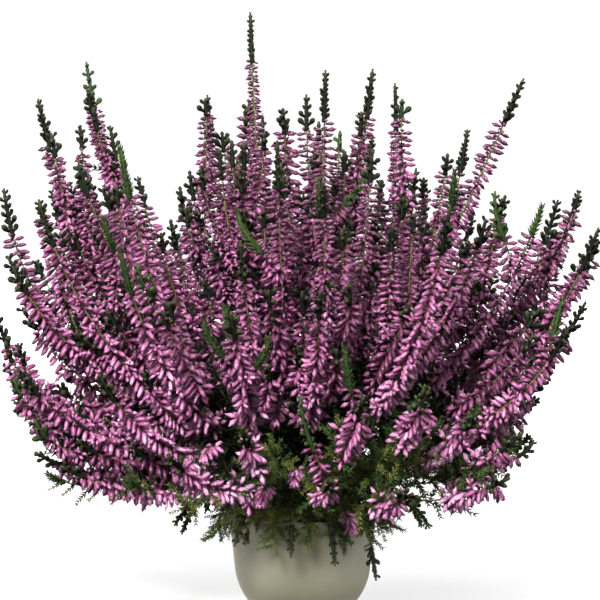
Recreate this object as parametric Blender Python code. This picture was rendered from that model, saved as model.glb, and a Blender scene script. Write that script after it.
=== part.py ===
"""A potted heather: a small turned pot, its root ball, flowering sprays and the leafy shoots over its rim.

The origin is the centre of the pot's underside, +Z is up and -Y is the plant's front. Sizes are in
millimetres here and become metres when a mesh is made.
"""

import math
from dataclasses import dataclass

import bmesh
import bpy
import numpy as np
from mathutils import Matrix, Vector

MM = 0.001
UP = Vector((0.0, 0.0, 1.0))

# Pot
POT_HEIGHT = 49.0
RIM_RADIUS = 37.9
RIM_BAND = 4.0
RIM_PROUD = 0.8
RIM_EDGE = 0.5
SHOULDER_HEIGHT = 21.0
SHOULDER_RADIUS = 34.0
FOOT_RADIUS = 22.7
WALL = 2.0
FLOOR = 2.6
POT_SIDES = 26
CURVE_STEPS = 4

# Root ball
SOIL_TOP = 44.0
SOIL_DOME = 1.0
GAP = 0.3
HOLE_RADIUS = 1.65
HOLE_SIDES = 5
HOLE_DEPTH = 8.0
FOOT_CLEAR = 0.5

# Stems, shared by every spray and shoot
STEM_SIDES = 4
STEM_RADIUS = 1.0
SPIKE_RADIUS = 0.9
THIN_RADIUS = 0.7
ROOT_DISC = 27.0
ROOT_APART = 4.4
ROOT_ROUNDS = 40
ROOT_SPREAD = 0.66
ROOT_RISE = (28.0, 0.12)
ROOT_REACH = 0.05
CURVE_RISE = (6.0, 0.28)
CURVE_REACH = 0.77
RING_TWIST = math.radians(16.0)
ROUTE_STEPS = 60

# Shoots over the rim
SHOOT_DISC = 31.5
SHOOT_LEAN = 2.5
SHOOT_RISE = 20.0
SHOOT_OVER = 0.86

# Dome that the spikes not seen in outline fill
DOME_LOW = 118.0
DOME_RISE = 104.0
DOME_UNEVEN = 0.07
DOME_DIRECTIONS = 420
SPIKE_SPACING = math.radians(15.0)
PAIR_SPACING = math.radians(30.0)
LOWEST_LEAN = math.radians(80.0)

# Tips of the spikes that stand out in the plant's outline and on its front: across, depth, height
OUTLINE_TIPS = (
    (-134, 26, 257),
    (-112, 60, 276),
    (-95, -16, 244),
    (-85, -100, 235),
    (-88, 105, 216),
    (-108, -54, 227),
    (-127, -57, 209),
    (-125, -8, 212),
    (-113, 79, 218),
    (-49, 50, 259),
    (-26, 0, 300),
    (-21, 75, 249),
    (-12, -85, 238),
    (-62, 17, 213),
    (-64, -46, 199),
    (-41, -30, 233),
    (-3, 125, 212),
    (-35, 105, 226),
    (2, 43, 259),
    (11, -46, 271),
    (33, -75, 233),
    (56, -18, 223),
    (66, 85, 210),
    (84, 30, 242),
    (87, -78, 201),
    (102, 8, 209),
    (89, 62, 198),
    (116, -48, 206),
    (131, 40, 205),
    (138, -5, 212),
    (143, -50, 195),
    (143, 14, 178),
    (43, 130, 213),
    (-143, 28, 151),
    (-132, -34, 84),
    (-116, -75, 82),
    (-148, 6, 178),
    (-140, -52, 176),
    (-128, 70, 164),
    (-138, -58, 128),
    (-131, 20, 112),
    (107, -55, 96),
    (98, -95, 79),
    (122, 34, 104),
    (124, -2, 121),
    (128, 58, 140),
    (128, -62, 148),
    (-29, -100, 191),
    (-84, -122, 188),
    (68, -115, 208),
    (10, -110, 219),
    (8, -115, 169),
    (-33, -125, 160),
    (13, -118, 81),
    (83, -100, 112),
    (59, -120, 125),
    (-149, -10, 125),
    (-141, -25, 109),
    (-57, 14, 221),
    (21, 15, 231),
    (-118, 12, 215),
    (97, -20, 195),
    (144, 20, 155),
    (28, -122, 120),
    (114, -14, 90),
    (106, 36, 70),
)

# Spikes that end at another lean than the rest: the same, then the share of the reach at the third point
LEANING_TIPS = (
    (107, -45, 267, 0.4),
    (35, 0, 272, 0.5),
    (48, 66, 265, 1.15),
    (-151, 20, 212, 0.92),
    (-151, -20, 148, 0.9),
)

# Leafy shoots over the rim: bearing in degrees, then reach and height of the tip
RIM_SHOOTS = (
    (-155, 70, 46),
    (-120, 66, 40),
    (-96, 55, 34),
    (-74, 57, 30),
    (-54, 61, 22),
    (-22, 68, 44),
    (18, 64, 38),
    (46, 66, 40),
    (84, 60, 34),
    (112, 64, 36),
    (140, 66, 42),
    (171, 62, 36),
)

# Where buds and leaves sit along a stem
BARE_FOOT = 24.0
BARE_SHARE = 0.3
SHOOT_BARE_STEP = 6.5
TIP_SHARE = 0.11
TIP_LENGTHS = (17.0, 27.0)
BUD_START = 0.45
SIDE_BUD_START = 0.3
FORK_SHARE = 0.27
FORK_LEAVES_AT = math.radians(38.0)
FORK_HALF = 1.8
FORK_CLEAR = 2.5
FORK_POINTS = 4
FORK_FIRST_RING = 6.5
LEAVE_SHARE = 0.3
ARRIVE_SHARE = 0.5
ARRIVE_POINTS = 6
LAST_RING = 6.5
END_RING = 5.0

# kind: ring spacing, core radius, reach outward, reach along the stem, drop straight down
FORMS = {
    "bare": (9.2, 1.0, 0.0, 0.0, 0.0),
    "leaf": (10.0, 1.1, 5.6, 4.6, 0.0),
    "bud": (7.5, 1.5, 5.8, -0.6, 1.4),
    "tip": (5.6, 1.1, 3.2, 3.2, 0.0),
}
CLEAR_SHARE = 0.45
RIM_CLEAR = 0.6
LEAST_ROOM = 1.3

POT_COLOUR = (0.235, 0.215, 0.155, 1.0)
SOIL_COLOUR = (0.035, 0.022, 0.014, 1.0)
LEAF_COLOUR = (0.035, 0.075, 0.022, 1.0)
BUD_COLOUR = (0.42, 0.06, 0.27, 1.0)


def clear_scene():
    """Removes what the startup file holds."""
    for thing in list(bpy.data.objects):
        bpy.data.objects.remove(thing, do_unlink=True)


def finish(name, colour, roughness):
    """A plain material of one colour."""
    material = bpy.data.materials.new(name)
    material.use_nodes = True
    shader = material.node_tree.nodes["Principled BSDF"]
    shader.inputs["Base Color"].default_value = colour
    shader.inputs["Roughness"].default_value = roughness
    shader.inputs["Metallic"].default_value = 0.0
    material.diffuse_color = colour
    return material


def add_object(name, bm, materials, smooth=False):
    """Makes a named object from a bmesh in millimetres."""
    bm.normal_update()
    mesh = bpy.data.meshes.new(name)
    bm.to_mesh(mesh)
    bm.free()
    mesh.transform(Matrix.Scale(MM, 4))
    for material in materials:
        mesh.materials.append(material)
    if smooth:
        mesh.shade_smooth()
        mesh.set_sharp_from_angle(angle=math.radians(35.0))
    thing = bpy.data.objects.new(name, mesh)
    bpy.context.scene.collection.objects.link(thing)
    return thing


def turned(profile, sides):
    """A bmesh turned about Z from a profile of (radius, height) that starts and ends on the axis."""
    bm = bmesh.new()
    corners = [bm.verts.new((radius, 0.0, height)) for radius, height in profile]
    edges = [bm.edges.new(pair) for pair in zip(corners, corners[1:])]
    bmesh.ops.spin(
        bm,
        geom=corners + edges,
        axis=(0.0, 0.0, 1.0),
        cent=(0.0, 0.0, 0.0),
        steps=sides,
        angle=math.tau,
        use_duplicate=False,
    )
    bmesh.ops.remove_doubles(bm, verts=bm.verts, dist=1e-4)
    bmesh.ops.recalc_face_normals(bm, faces=bm.faces)
    return bm


def side_radius(height):
    """The radius of the pot's straight taper at a height."""
    share = (height - SHOULDER_HEIGHT) / (POT_HEIGHT - SHOULDER_HEIGHT)
    return SHOULDER_RADIUS + (RIM_RADIUS - RIM_PROUD - SHOULDER_RADIUS) * share


def wall_section(inset, bottom, top):
    """The pot's side moved in by inset: an arc from bottom up to the shoulder, then the taper to top."""
    taper = math.atan2(side_radius(POT_HEIGHT) - SHOULDER_RADIUS, POT_HEIGHT - SHOULDER_HEIGHT)
    across, up = math.cos(taper), -math.sin(taper)
    run, rise = SHOULDER_RADIUS - FOOT_RADIUS, SHOULDER_HEIGHT
    # This circle touches the taper at the shoulder and passes through the foot.
    radius = (run * run + rise * rise) / (2.0 * (run * across + rise * up))
    middle = SHOULDER_RADIUS - radius * across
    height = SHOULDER_HEIGHT - radius * up
    size = radius - inset
    start = math.asin((bottom - height) / size)
    points = []
    for step in range(CURVE_STEPS + 1):
        turn = start + (-taper - start) * step / CURVE_STEPS
        points.append((middle + size * math.cos(turn), height + size * math.sin(turn)))
    points.append((side_radius(top) - inset / across, top))
    return points


def pot_profile():
    """The pot's whole section, from the middle of its underside round to the middle of its floor."""
    outside = wall_section(0.0, 0.0, POT_HEIGHT - RIM_BAND)
    band = [
        (RIM_RADIUS, POT_HEIGHT - RIM_BAND + RIM_EDGE),
        (RIM_RADIUS, POT_HEIGHT - RIM_EDGE),
        (RIM_RADIUS - RIM_EDGE, POT_HEIGHT),
    ]
    inside = wall_section(WALL, FLOOR, POT_HEIGHT)[::-1]
    return [(0.0, 0.0), *outside, *band, *inside, (0.0, FLOOR)]


def soil_profile():
    """The root ball's section: the pot's inside less a small gap, with a slightly domed top."""
    side = wall_section(WALL + GAP, FLOOR + GAP, SOIL_TOP)
    return [(0.0, FLOOR + GAP), *side, (0.0, SOIL_TOP + SOIL_DOME)]


@dataclass(frozen=True)
class Tip:
    """Where a spike ends, and how upright its end is: the share of its reach at its curve's third point."""

    place: Vector
    upright: float = CURVE_REACH

    @property
    def height(self):
        """How far the tip is above the soil."""
        return self.place.z - SOIL_TOP

    @property
    def reach(self):
        """How far the tip is from the pot's axis."""
        return math.hypot(self.place.x, self.place.y)

    @property
    def heading(self):
        """The unit direction from the middle of the soil to the tip."""
        return (self.place - UP * SOIL_TOP).normalized()


def dome_tips():
    """The outline's tips, then tips on an even spiral over the dome wherever no other tip is near."""
    tips = [Tip(Vector(place)) for place in OUTLINE_TIPS]
    tips += [Tip(Vector(row[:3]), row[3]) for row in LEANING_TIPS]
    golden = math.pi * (3.0 - math.sqrt(5.0))
    for step in range(DOME_DIRECTIONS):
        rise = 1.0 - (step + 0.5) / DOME_DIRECTIONS * (1.0 - math.cos(LOWEST_LEAN))
        level = math.sqrt(1.0 - rise * rise)
        bearing = step * golden
        way = Vector((level * math.cos(bearing), level * math.sin(bearing), rise))
        if min(way.angle(tip.heading) for tip in tips) < SPIKE_SPACING:
            continue
        length = (DOME_LOW + DOME_RISE * rise) * (1.0 - DOME_UNEVEN + DOME_UNEVEN * math.sin(step * 2.4))
        tips.append(Tip(way * length + UP * SOIL_TOP))
    return tips


def pair_tips(tips):
    """Joins each tip with its nearest free neighbour, longest first: a list of one or two tips a spray."""
    free = sorted(tips, key=lambda tip: -math.hypot(tip.reach, tip.height))
    sprays = []
    while free:
        main = free.pop(0)
        near = sorted(free, key=lambda tip: tip.heading.angle(main.heading))
        if near and near[0].heading.angle(main.heading) < PAIR_SPACING:
            free.remove(near[0])
            sprays.append([main, near[0]])
        else:
            sprays.append([main])
    return sprays


def walked(a, b, c, d):
    """The cubic curve of four points as a polyline."""
    points = []
    for step in range(ROUTE_STEPS + 1):
        share = step / ROUTE_STEPS
        rest = 1.0 - share
        near = a * rest**3 + b * (3.0 * rest * rest * share)
        far = c * (3.0 * rest * share * share) + d * share**3
        points.append(near + far)
    return points


def rooted(curve):
    """A stem's route with a straight foot in its hole below the curve's start."""
    return [curve[0] - UP * (HOLE_DEPTH - FOOT_CLEAR), *curve]


def root_of(tip):
    """Where a stem leaves the soil: further out the more its tip leans."""
    lean = math.atan2(tip.reach, tip.height)
    out = Vector((tip.place.x, tip.place.y, 0.0)).normalized()
    return out * (ROOT_DISC * (lean / (0.5 * math.pi)) ** ROOT_SPREAD) + UP * SOIL_TOP


def spread_roots(roots):
    """Pushes roots apart until no two are nearer than ROOT_APART."""
    roots = [root.copy() for root in roots]
    for _ in range(ROOT_ROUNDS):
        for index, root in enumerate(roots):
            for other in roots[index + 1 :]:
                apart = other - root
                short = ROOT_APART - apart.length
                if short > 0.0:
                    push = apart.normalized() * (0.5 * short)
                    root -= push
                    other += push
    return roots


def main_route(tip, root):
    """A spray's main stem: up out of the soil, out over the rim where it leans far, and up to its tip."""
    out = Vector((tip.place.x, tip.place.y, 0.0)).normalized()
    second = root + out * (ROOT_REACH * tip.reach) + UP * (ROOT_RISE[0] + ROOT_RISE[1] * tip.height)
    third = out * (tip.upright * tip.reach) + UP * (SOIL_TOP + CURVE_RISE[0] + CURVE_RISE[1] * tip.height)
    return rooted(walked(root, second, third, tip.place))


def shoot_route(bearing, reach, height):
    """A leafy shoot that rises from the edge of the soil, crosses the rim and hangs down outside."""
    turn = math.radians(bearing)
    out = Vector((math.cos(turn), math.sin(turn), 0.0))
    root = out * SHOOT_DISC + UP * SOIL_TOP
    second = out * (SHOOT_DISC + SHOOT_LEAN) + UP * (SOIL_TOP + SHOOT_RISE)
    third = out * (SHOOT_OVER * reach) + UP * (SOIL_TOP + SHOOT_RISE)
    return rooted(walked(root, second, third, out * reach + UP * height))


def lengths_of(route):
    """The length along a route at each of its points."""
    total = [0.0]
    for a, b in zip(route, route[1:]):
        total.append(total[-1] + (b - a).length)
    return total


def at(route, lengths, along):
    """The point and direction at a length along a route."""
    along = min(max(along, 0.0), lengths[-1])
    step = next(index for index in range(len(route) - 1) if along <= lengths[index + 1])
    share = (along - lengths[step]) / (lengths[step + 1] - lengths[step])
    way = (route[step + 1] - route[step]).normalized()
    return route[step].lerp(route[step + 1], share), way


def side_route(main, tip):
    """A second spike that forks off its main stem and ends at its own tip, rising like a main one there."""
    lengths = lengths_of(main)
    start, way = at(main, lengths, FORK_SHARE * lengths[-1])
    across = tip.place - start
    span = across.length
    across = (across - way * across.dot(way)).normalized()
    leave = way * math.cos(FORK_LEAVES_AT) + across * math.sin(FORK_LEAVES_AT)
    own = main_route(tip, root_of(tip))
    arrive = (own[-1] - own[-ARRIVE_POINTS]).normalized()
    second = start + leave * (LEAVE_SHARE * span)
    third = tip.place - arrive * (ARRIVE_SHARE * span)
    return walked(start, second, third, tip.place)


def all_routes():
    """Every stem's route: a list of sprays, each with one or two routes, and a list of rim shoots."""
    sprays = []
    pairs = pair_tips(dome_tips())
    for tips, root in zip(pairs, spread_roots([root_of(tips[0]) for tips in pairs])):
        main = main_route(tips[0], root)
        sprays.append([main] + [side_route(main, tip) for tip in tips[1:]])
    shoots = [shoot_route(*shoot) for shoot in RIM_SHOOTS]
    return sprays, shoots


class Clearance:
    """How much room a point on one stem has before it meets another stem, the pot or the soil."""

    def __init__(self, routes):
        self.points = [np.array([tuple(p) for p in route]) for route in routes]
        inner = side_radius(POT_HEIGHT) - WALL
        self.outline = [(0.0, SOIL_TOP + SOIL_DOME), (inner, SOIL_TOP), (inner, POT_HEIGHT)]
        self.outline += [(RIM_RADIUS, POT_HEIGHT), (RIM_RADIUS, SHOULDER_HEIGHT), (FOOT_RADIUS, 0.0)]

    def to_pot(self, point):
        """Distance from a point to the outline of the pot and soil."""
        radius, height = math.hypot(point.x, point.y), point.z
        best = 1e9
        for (r0, z0), (r1, z1) in zip(self.outline, self.outline[1:]):
            run, rise = r1 - r0, z1 - z0
            share = ((radius - r0) * run + (height - z0) * rise) / (run * run + rise * rise)
            share = min(1.0, max(0.0, share))
            best = min(best, math.hypot(radius - r0 - run * share, height - z0 - rise * share))
        return best

    def of(self, number):
        """The room at a point for one stem."""
        return lambda point: self.room(point, number)

    def room(self, point, own):
        """Half the way to the nearest other stem, or the way to the pot if that is less."""
        here = np.array(tuple(point))
        nearest = min(
            float(np.sqrt(((other - here) ** 2).sum(axis=1)).min())
            for number, other in enumerate(self.points)
            if number != own
        )
        return min(CLEAR_SHARE * nearest, self.to_pot(point) - RIM_CLEAR)


def kind_at(along, start, length, flowering):
    """What grows at a length along a stem that begins at start: nothing, leaves, buds or the leafy tip."""
    tip = min(max(TIP_SHARE * length, TIP_LENGTHS[0]), TIP_LENGTHS[1])
    buds = (SIDE_BUD_START if start else BUD_START) * length
    if along < min(BARE_FOOT, BARE_SHARE * length):
        return "bare"
    if along >= length - tip or not flowering:
        return "tip"
    return "bud" if along >= buds else "leaf"


def ring_places(length, start, forked, flowering):
    """Where the rings of a stem lie along it, and which form each has."""
    places = []
    along = start
    while along < length - LAST_RING:
        kind = kind_at(along, start, length, flowering)
        places.append((along, kind))
        along += FORMS[kind][0] if flowering or kind != "bare" else SHOOT_BARE_STEP
    places.append((length - END_RING, "end"))
    if forked is not None:
        places = [place for place in places if abs(place[0] - forked) > FORK_HALF + FORK_CLEAR]
        places += [(forked - FORK_HALF, "fork"), (forked + FORK_HALF, "fork")]
    return sorted(places)


def frame_along(route, lengths, places):
    """Centre, direction and two cross directions for each ring, turned as little as possible."""
    frames = []
    side = None
    for along, _ in places:
        centre, way = at(route, lengths, along)
        if side is None:
            side = way.orthogonal().normalized()
        side = (side - way * side.dot(way)).normalized()
        frames.append((centre, way, side, way.cross(side)))
    return frames


def add_ring(bm, frame, turn, kind, parity, room, radius):
    """Four corners round a stem. In a ring of buds or leaves, every other corner stands out."""
    centre, way, side, other = frame
    core, out, forward, drop = FORMS.get(kind, FORMS["bare"])[1:]
    core = min(max(core, radius), max(room, radius)) if out else radius
    ring = []
    for corner in range(STEM_SIDES):
        angle = turn + corner * math.tau / STEM_SIDES
        radial = side * math.cos(angle) + other * math.sin(angle)
        stands = out > 0.0 and (corner + parity) % 2 == 0 and room > LEAST_ROOM * radius
        if stands:
            size = min(1.0, room / math.hypot(out, max(forward, drop)))
            point = centre + (radial * out + way * forward - UP * drop) * size
        else:
            point = centre + radial * core
        ring.append((bm.verts.new(point), stands))
    return ring


def join_rings(bm, low, high, material):
    """Skins two rings. Each square is split between its two lowest corners, so that buds stay apart."""
    for corner in range(STEM_SIDES):
        after = (corner + 1) % STEM_SIDES
        a, b = low[corner], low[after]
        c, d = high[after], high[corner]
        if b[1] or d[1]:
            triangles = ((a, b, c), (a, c, d))
        else:
            triangles = ((a, b, d), (b, c, d))
        for triangle in triangles:
            face = bm.faces.new([vertex for vertex, _ in triangle])
            face.material_index = material


def turn_to_base(base, frame):
    """The turn at which a ring's corners lie nearest to the four corners that a side spike leaves from."""
    _, _, side, other = frame
    middle = sum((vertex.co for vertex in base), Vector()) / STEM_SIDES
    total = Vector((0.0, 0.0))
    for corner, vertex in enumerate(base):
        away = vertex.co - middle
        angle = math.atan2(away.dot(other), away.dot(side)) - corner * math.tau / STEM_SIDES
        total += Vector((math.cos(angle), math.sin(angle)))
    return math.atan2(total.y, total.x)


def turn_to_fork(places, frames, fork_way):
    """The turn that sets one face between the two fork rings square to the way the side spike leaves."""
    first = next(index for index, place in enumerate(places) if place[1] == "fork")
    _, _, side, other = frames[first]
    wanted = math.atan2(fork_way.dot(other), fork_way.dot(side)) - 0.5 * math.tau / STEM_SIDES
    return wanted - first * RING_TWIST


def grow(bm, route, room_at, fork=None, fork_way=None, base=None, flowering=True):
    """Adds one stem to a bmesh. Returns the four corners that a side spike leaves from, if it forks.

    fork is the length at which a side spike leaves in the direction fork_way. base is the four corners on
    a main stem that this stem leaves from, where it is a side spike itself.
    """
    lengths = lengths_of(route)
    places = ring_places(lengths[-1], FORK_FIRST_RING if base else 0.0, fork, flowering)
    frames = frame_along(route, lengths, places)
    foot = SPIKE_RADIUS if base else STEM_RADIUS
    turn = 0.0
    previous = None
    corners = None
    if base:
        turn = turn_to_base(base, frames[0])
        previous = [(vertex, False) for vertex in base]
    elif fork is not None:
        turn = turn_to_fork(places, frames, fork_way)
    for index, ((along, kind), frame) in enumerate(zip(places, frames)):
        radius = STEM_RADIUS if kind == "end" else foot + (THIN_RADIUS - foot) * along / lengths[-1]
        second = kind == "fork" and places[index - 1][1] == "fork"
        twist = turn + (index - 1 if second else index) * RING_TWIST
        ring = add_ring(bm, frame, twist, kind, index, room_at(frame[0]), radius)
        if previous:
            join_rings(bm, previous, ring, 1 if kind == "bud" else 0)
        else:
            bm.faces.new([vertex for vertex, _ in reversed(ring)])
        if second:
            corners = [previous[0][0], previous[1][0], ring[1][0], ring[0][0]]
        previous = ring
    point = bm.verts.new(route[-1])
    for corner in range(STEM_SIDES):
        bm.faces.new((previous[corner][0], previous[(corner + 1) % STEM_SIDES][0], point))
    return corners


def open_at(bm, corners):
    """Takes out the two triangles between four corners."""
    wanted = set(corners)
    faces = [face for face in bm.faces if set(face.verts) <= wanted]
    shared = [edge for edge in faces[0].edges if edge in faces[1].edges[:]]
    for face in faces:
        bm.faces.remove(face)
    for edge in shared:
        bm.edges.remove(edge)


def add_spray(name, routes, numbers, clearance, materials):
    """One spray: its main stem and, where it has one, the side spike that forks off it."""
    bm = bmesh.new()
    if len(routes) == 1:
        grow(bm, routes[0], clearance.of(numbers[0]))
    else:
        main, side = routes
        fork = FORK_SHARE * lengths_of(main)[-1]
        fork_way = (side[FORK_POINTS] - side[0]).normalized()
        corners = grow(bm, main, clearance.of(numbers[0]), fork=fork, fork_way=fork_way)
        open_at(bm, corners)
        grow(bm, side, clearance.of(numbers[1]), base=corners)
    return add_object(name, bm, materials)


def add_soil(roots, peat):
    """The root ball, with a plain hole for each stem."""
    soil = add_object("soil", turned(soil_profile(), POT_SIDES), [peat])
    bm = bmesh.new()
    top, bottom = SOIL_TOP + 2.0 * SOIL_DOME, SOIL_TOP - HOLE_DEPTH
    for root in roots:
        bmesh.ops.create_cone(
            bm,
            cap_ends=True,
            segments=HOLE_SIDES,
            radius1=HOLE_RADIUS,
            radius2=HOLE_RADIUS,
            depth=top - bottom,
            matrix=Matrix.Translation((root.x, root.y, 0.5 * (top + bottom))),
        )
    cutter = add_object("stem_holes", bm, [peat])
    cutter.hide_render = True
    cutter.display_type = "WIRE"
    cut = soil.modifiers.new("stem_holes", "BOOLEAN")
    cut.operation = "DIFFERENCE"
    cut.solver = "EXACT"
    cut.object = cutter


def build():
    """Makes every object."""
    clear_scene()
    taupe = finish("pot_taupe", POT_COLOUR, 0.65)
    peat = finish("soil_peat", SOIL_COLOUR, 0.95)
    green = finish("leaf_green", LEAF_COLOUR, 0.6)
    mauve = finish("bud_mauve", BUD_COLOUR, 0.55)
    add_object("pot", turned(pot_profile(), POT_SIDES), [taupe], smooth=True)
    sprays, shoots = all_routes()
    clearance = Clearance([route for spray in sprays for route in spray] + shoots)
    number = 0
    for count, spray in enumerate(sprays, start=1):
        numbers = range(number, number + len(spray))
        add_spray(f"spray_{count:02d}", spray, numbers, clearance, [green, mauve])
        number += len(spray)
    for count, shoot in enumerate(shoots, start=1):
        bm = bmesh.new()
        grow(bm, shoot, clearance.of(number), flowering=False)
        add_object(f"shoot_{count:02d}", bm, [green])
        number += 1
    add_soil([spray[0][0] for spray in sprays] + [shoot[0] for shoot in shoots], peat)


build()
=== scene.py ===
"""The looks of a potted heather: fine buds, scale leaves, bark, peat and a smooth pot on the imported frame.

Lengths are millimetres while a piece is worked out, and metres once it is a mesh.
"""

import logging
import math
from collections.abc import Iterator
from dataclasses import dataclass, field, replace
from enum import Enum

import bpy
import numpy as np
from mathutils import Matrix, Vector


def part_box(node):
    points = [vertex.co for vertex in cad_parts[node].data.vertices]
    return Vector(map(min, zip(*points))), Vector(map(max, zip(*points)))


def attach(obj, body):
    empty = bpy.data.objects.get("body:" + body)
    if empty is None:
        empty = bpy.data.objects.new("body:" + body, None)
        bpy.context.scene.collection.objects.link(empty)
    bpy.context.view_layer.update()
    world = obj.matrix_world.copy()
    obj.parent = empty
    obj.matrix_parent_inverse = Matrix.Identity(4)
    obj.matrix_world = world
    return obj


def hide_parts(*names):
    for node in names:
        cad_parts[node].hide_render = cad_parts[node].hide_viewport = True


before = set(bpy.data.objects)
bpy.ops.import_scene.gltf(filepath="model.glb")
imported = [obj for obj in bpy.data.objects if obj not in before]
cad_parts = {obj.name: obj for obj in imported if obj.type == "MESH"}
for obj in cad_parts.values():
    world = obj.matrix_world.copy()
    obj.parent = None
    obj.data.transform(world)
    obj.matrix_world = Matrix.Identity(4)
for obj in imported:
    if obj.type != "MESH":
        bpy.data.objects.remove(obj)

LOG = logging.getLogger("heather")
MM = 0.001
UP = np.array((0.0, 0.0, 1.0))
LEVEL = np.array((1.0, 1.0, 0.0))
WHITE = (1.0, 1.0, 1.0, 1.0)
SPIRAL_TURN = 2.4

# One seed for the whole plant, to which the sprays add their number and the rest these
SEED = 4137
SHOOT_SEED = 500
PEAT_SEED = 900


class Part(Enum):
    """The finishes that a plant piece can carry, in the order of its material slots."""

    BARK = 0
    LEAF = 1
    BUD = 2


class Extra(Enum):
    """The slight side shoots that stand in front of the spikes."""

    SPIKE = "a flowering spike on a long side shoot"
    STAR = "a drooping cluster of buds"
    FEATHER = "a leafy yellow-olive shoot with a few buds low down"


# Finishes


def linear(red: int, green: int, blue: int) -> tuple[float, float, float, float]:
    """Turns a screen colour into the shader's linear one.

    Args:
        red: Red from 0 to 255.
        green: Green from 0 to 255.
        blue: Blue from 0 to 255.

    Returns:
        The linear colour with full alpha.
    """
    parts = []
    for value in (red, green, blue):
        share = value / 255.0
        parts.append(share / 12.92 if share <= 0.04045 else ((share + 0.055) / 1.055) ** 2.4)
    return (parts[0], parts[1], parts[2], 1.0)


class NodeBook:
    """A small helper that adds and links the nodes of one tree."""

    def __init__(self, owner: bpy.types.Material | bpy.types.World) -> None:
        """Opens the tree of a material or a world."""
        owner.use_nodes = True
        self.tree = owner.node_tree

    def add(self, kind: str, **settings: object) -> bpy.types.Node:
        """Adds a node.

        Args:
            kind: The node's type name.
            **settings: Properties of the node, or default values of its inputs by name.

        Returns:
            The new node.
        """
        node = self.tree.nodes.new(kind)
        for key, value in settings.items():
            if hasattr(node, key):
                setattr(node, key, value)
            else:
                node.inputs[key.replace("_", " ")].default_value = value
        return node

    def feed(self, target: bpy.types.NodeSocket, value: object) -> None:
        """Gives an input its value.

        Args:
            target: The input.
            value: A socket to link, or a plain value.
        """
        if isinstance(value, bpy.types.NodeSocket):
            self.tree.links.new(value, target)
        else:
            target.default_value = value

    def spread(self, value: bpy.types.NodeSocket, source: tuple, target: tuple) -> bpy.types.NodeSocket:
        """Adds a map range.

        Args:
            value: The socket that it reads.
            source: The lowest and the highest value that it reads.
            target: What it makes of them.

        Returns:
            The mapped value's socket.
        """
        node = self.add("ShaderNodeMapRange")
        for name, end in zip(("From Min", "From Max", "To Min", "To Max"), (*source, *target)):
            node.inputs[name].default_value = end
        self.feed(node.inputs["Value"], value)
        return node.outputs["Result"]


class FinishBook(NodeBook):
    """The nodes of one material."""

    def __init__(self, name: str) -> None:
        """Starts a material of this name with its Principled shader."""
        self.material = bpy.data.materials.new(name)
        super().__init__(self.material)
        self.inputs = self.tree.nodes["Principled BSDF"].inputs

    def dress(self, **values: object) -> None:
        """Gives the shader's inputs, by name, a socket or a plain value."""
        for name, value in values.items():
            self.feed(self.inputs[name.replace("_", " ")], value)

    def ramp(self, factor: bpy.types.NodeSocket, *stops: tuple[float, tuple]) -> bpy.types.NodeSocket:
        """Adds a colour ramp.

        Args:
            factor: The socket that drives the ramp.
            *stops: Pairs of a place from 0 to 1 and a colour.

        Returns:
            The ramp's colour socket.
        """
        node = self.add("ShaderNodeValToRGB")
        band = node.color_ramp
        while len(band.elements) < len(stops):
            band.elements.new(0.5)
        for element, (place, colour) in zip(band.elements, stops):
            element.position = place
            element.color = colour
        self.feed(node.inputs["Fac"], factor)
        return node.outputs["Color"]

    def shares(self, factor: bpy.types.NodeSocket, *stops: tuple[float, float]) -> bpy.types.NodeSocket:
        """Adds a ramp of shares, for mixing.

        Args:
            factor: The socket that drives the ramp.
            *stops: Pairs of a place and a share, both from 0 to 1.

        Returns:
            The share's socket.
        """
        return self.ramp(factor, *((place, (share, share, share, 1.0)) for place, share in stops))

    def noise(self, scale: float, detail: float = 2.0) -> bpy.types.NodeSocket:
        """Adds a noise pattern on object coordinates.

        Args:
            scale: How fine the pattern is, in cycles a metre.
            detail: The number of octaves.

        Returns:
            The noise's value socket.
        """
        node = self.add("ShaderNodeTexNoise", Scale=scale, Detail=detail)
        self.feed(node.inputs["Vector"], self.add("ShaderNodeTexCoord").outputs["Object"])
        return node.outputs["Fac"]

    def mix(self, factor: object, first: object, second: object, blend: str = "MIX") -> bpy.types.NodeSocket:
        """Mixes two colours.

        Args:
            factor: A socket or a number.
            first: A colour socket or a colour.
            second: A colour socket or a colour.
            blend: The blend type.

        Returns:
            The mixed colour socket.
        """
        node = self.add("ShaderNodeMix", data_type="RGBA", blend_type=blend)
        for index, value in ((0, factor), (6, first), (7, second)):
            self.feed(node.inputs[index], value)
        return node.outputs[2]

    def bump(self, height: bpy.types.NodeSocket, strength: float, distance: float) -> None:
        """Adds a bump to the shader.

        Args:
            height: The height socket.
            strength: The bump's strength.
            distance: The bump's depth in metres.
        """
        node = self.add("ShaderNodeBump", Strength=strength, Distance=distance)
        self.feed(node.inputs["Height"], height)
        self.dress(Normal=node.outputs["Normal"])

    def along_and_tone(self) -> tuple[bpy.types.NodeSocket, bpy.types.NodeSocket]:
        """Reads the growth map of a plant piece.

        Returns:
            The sockets for how far along its shape a point lies, and for the shape's own tone.
        """
        parts = self.add("ShaderNodeSeparateXYZ")
        self.feed(parts.inputs["Vector"], self.add("ShaderNodeUVMap", uv_map="growth").outputs["UV"])
        return parts.outputs["X"], parts.outputs["Y"]


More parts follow.
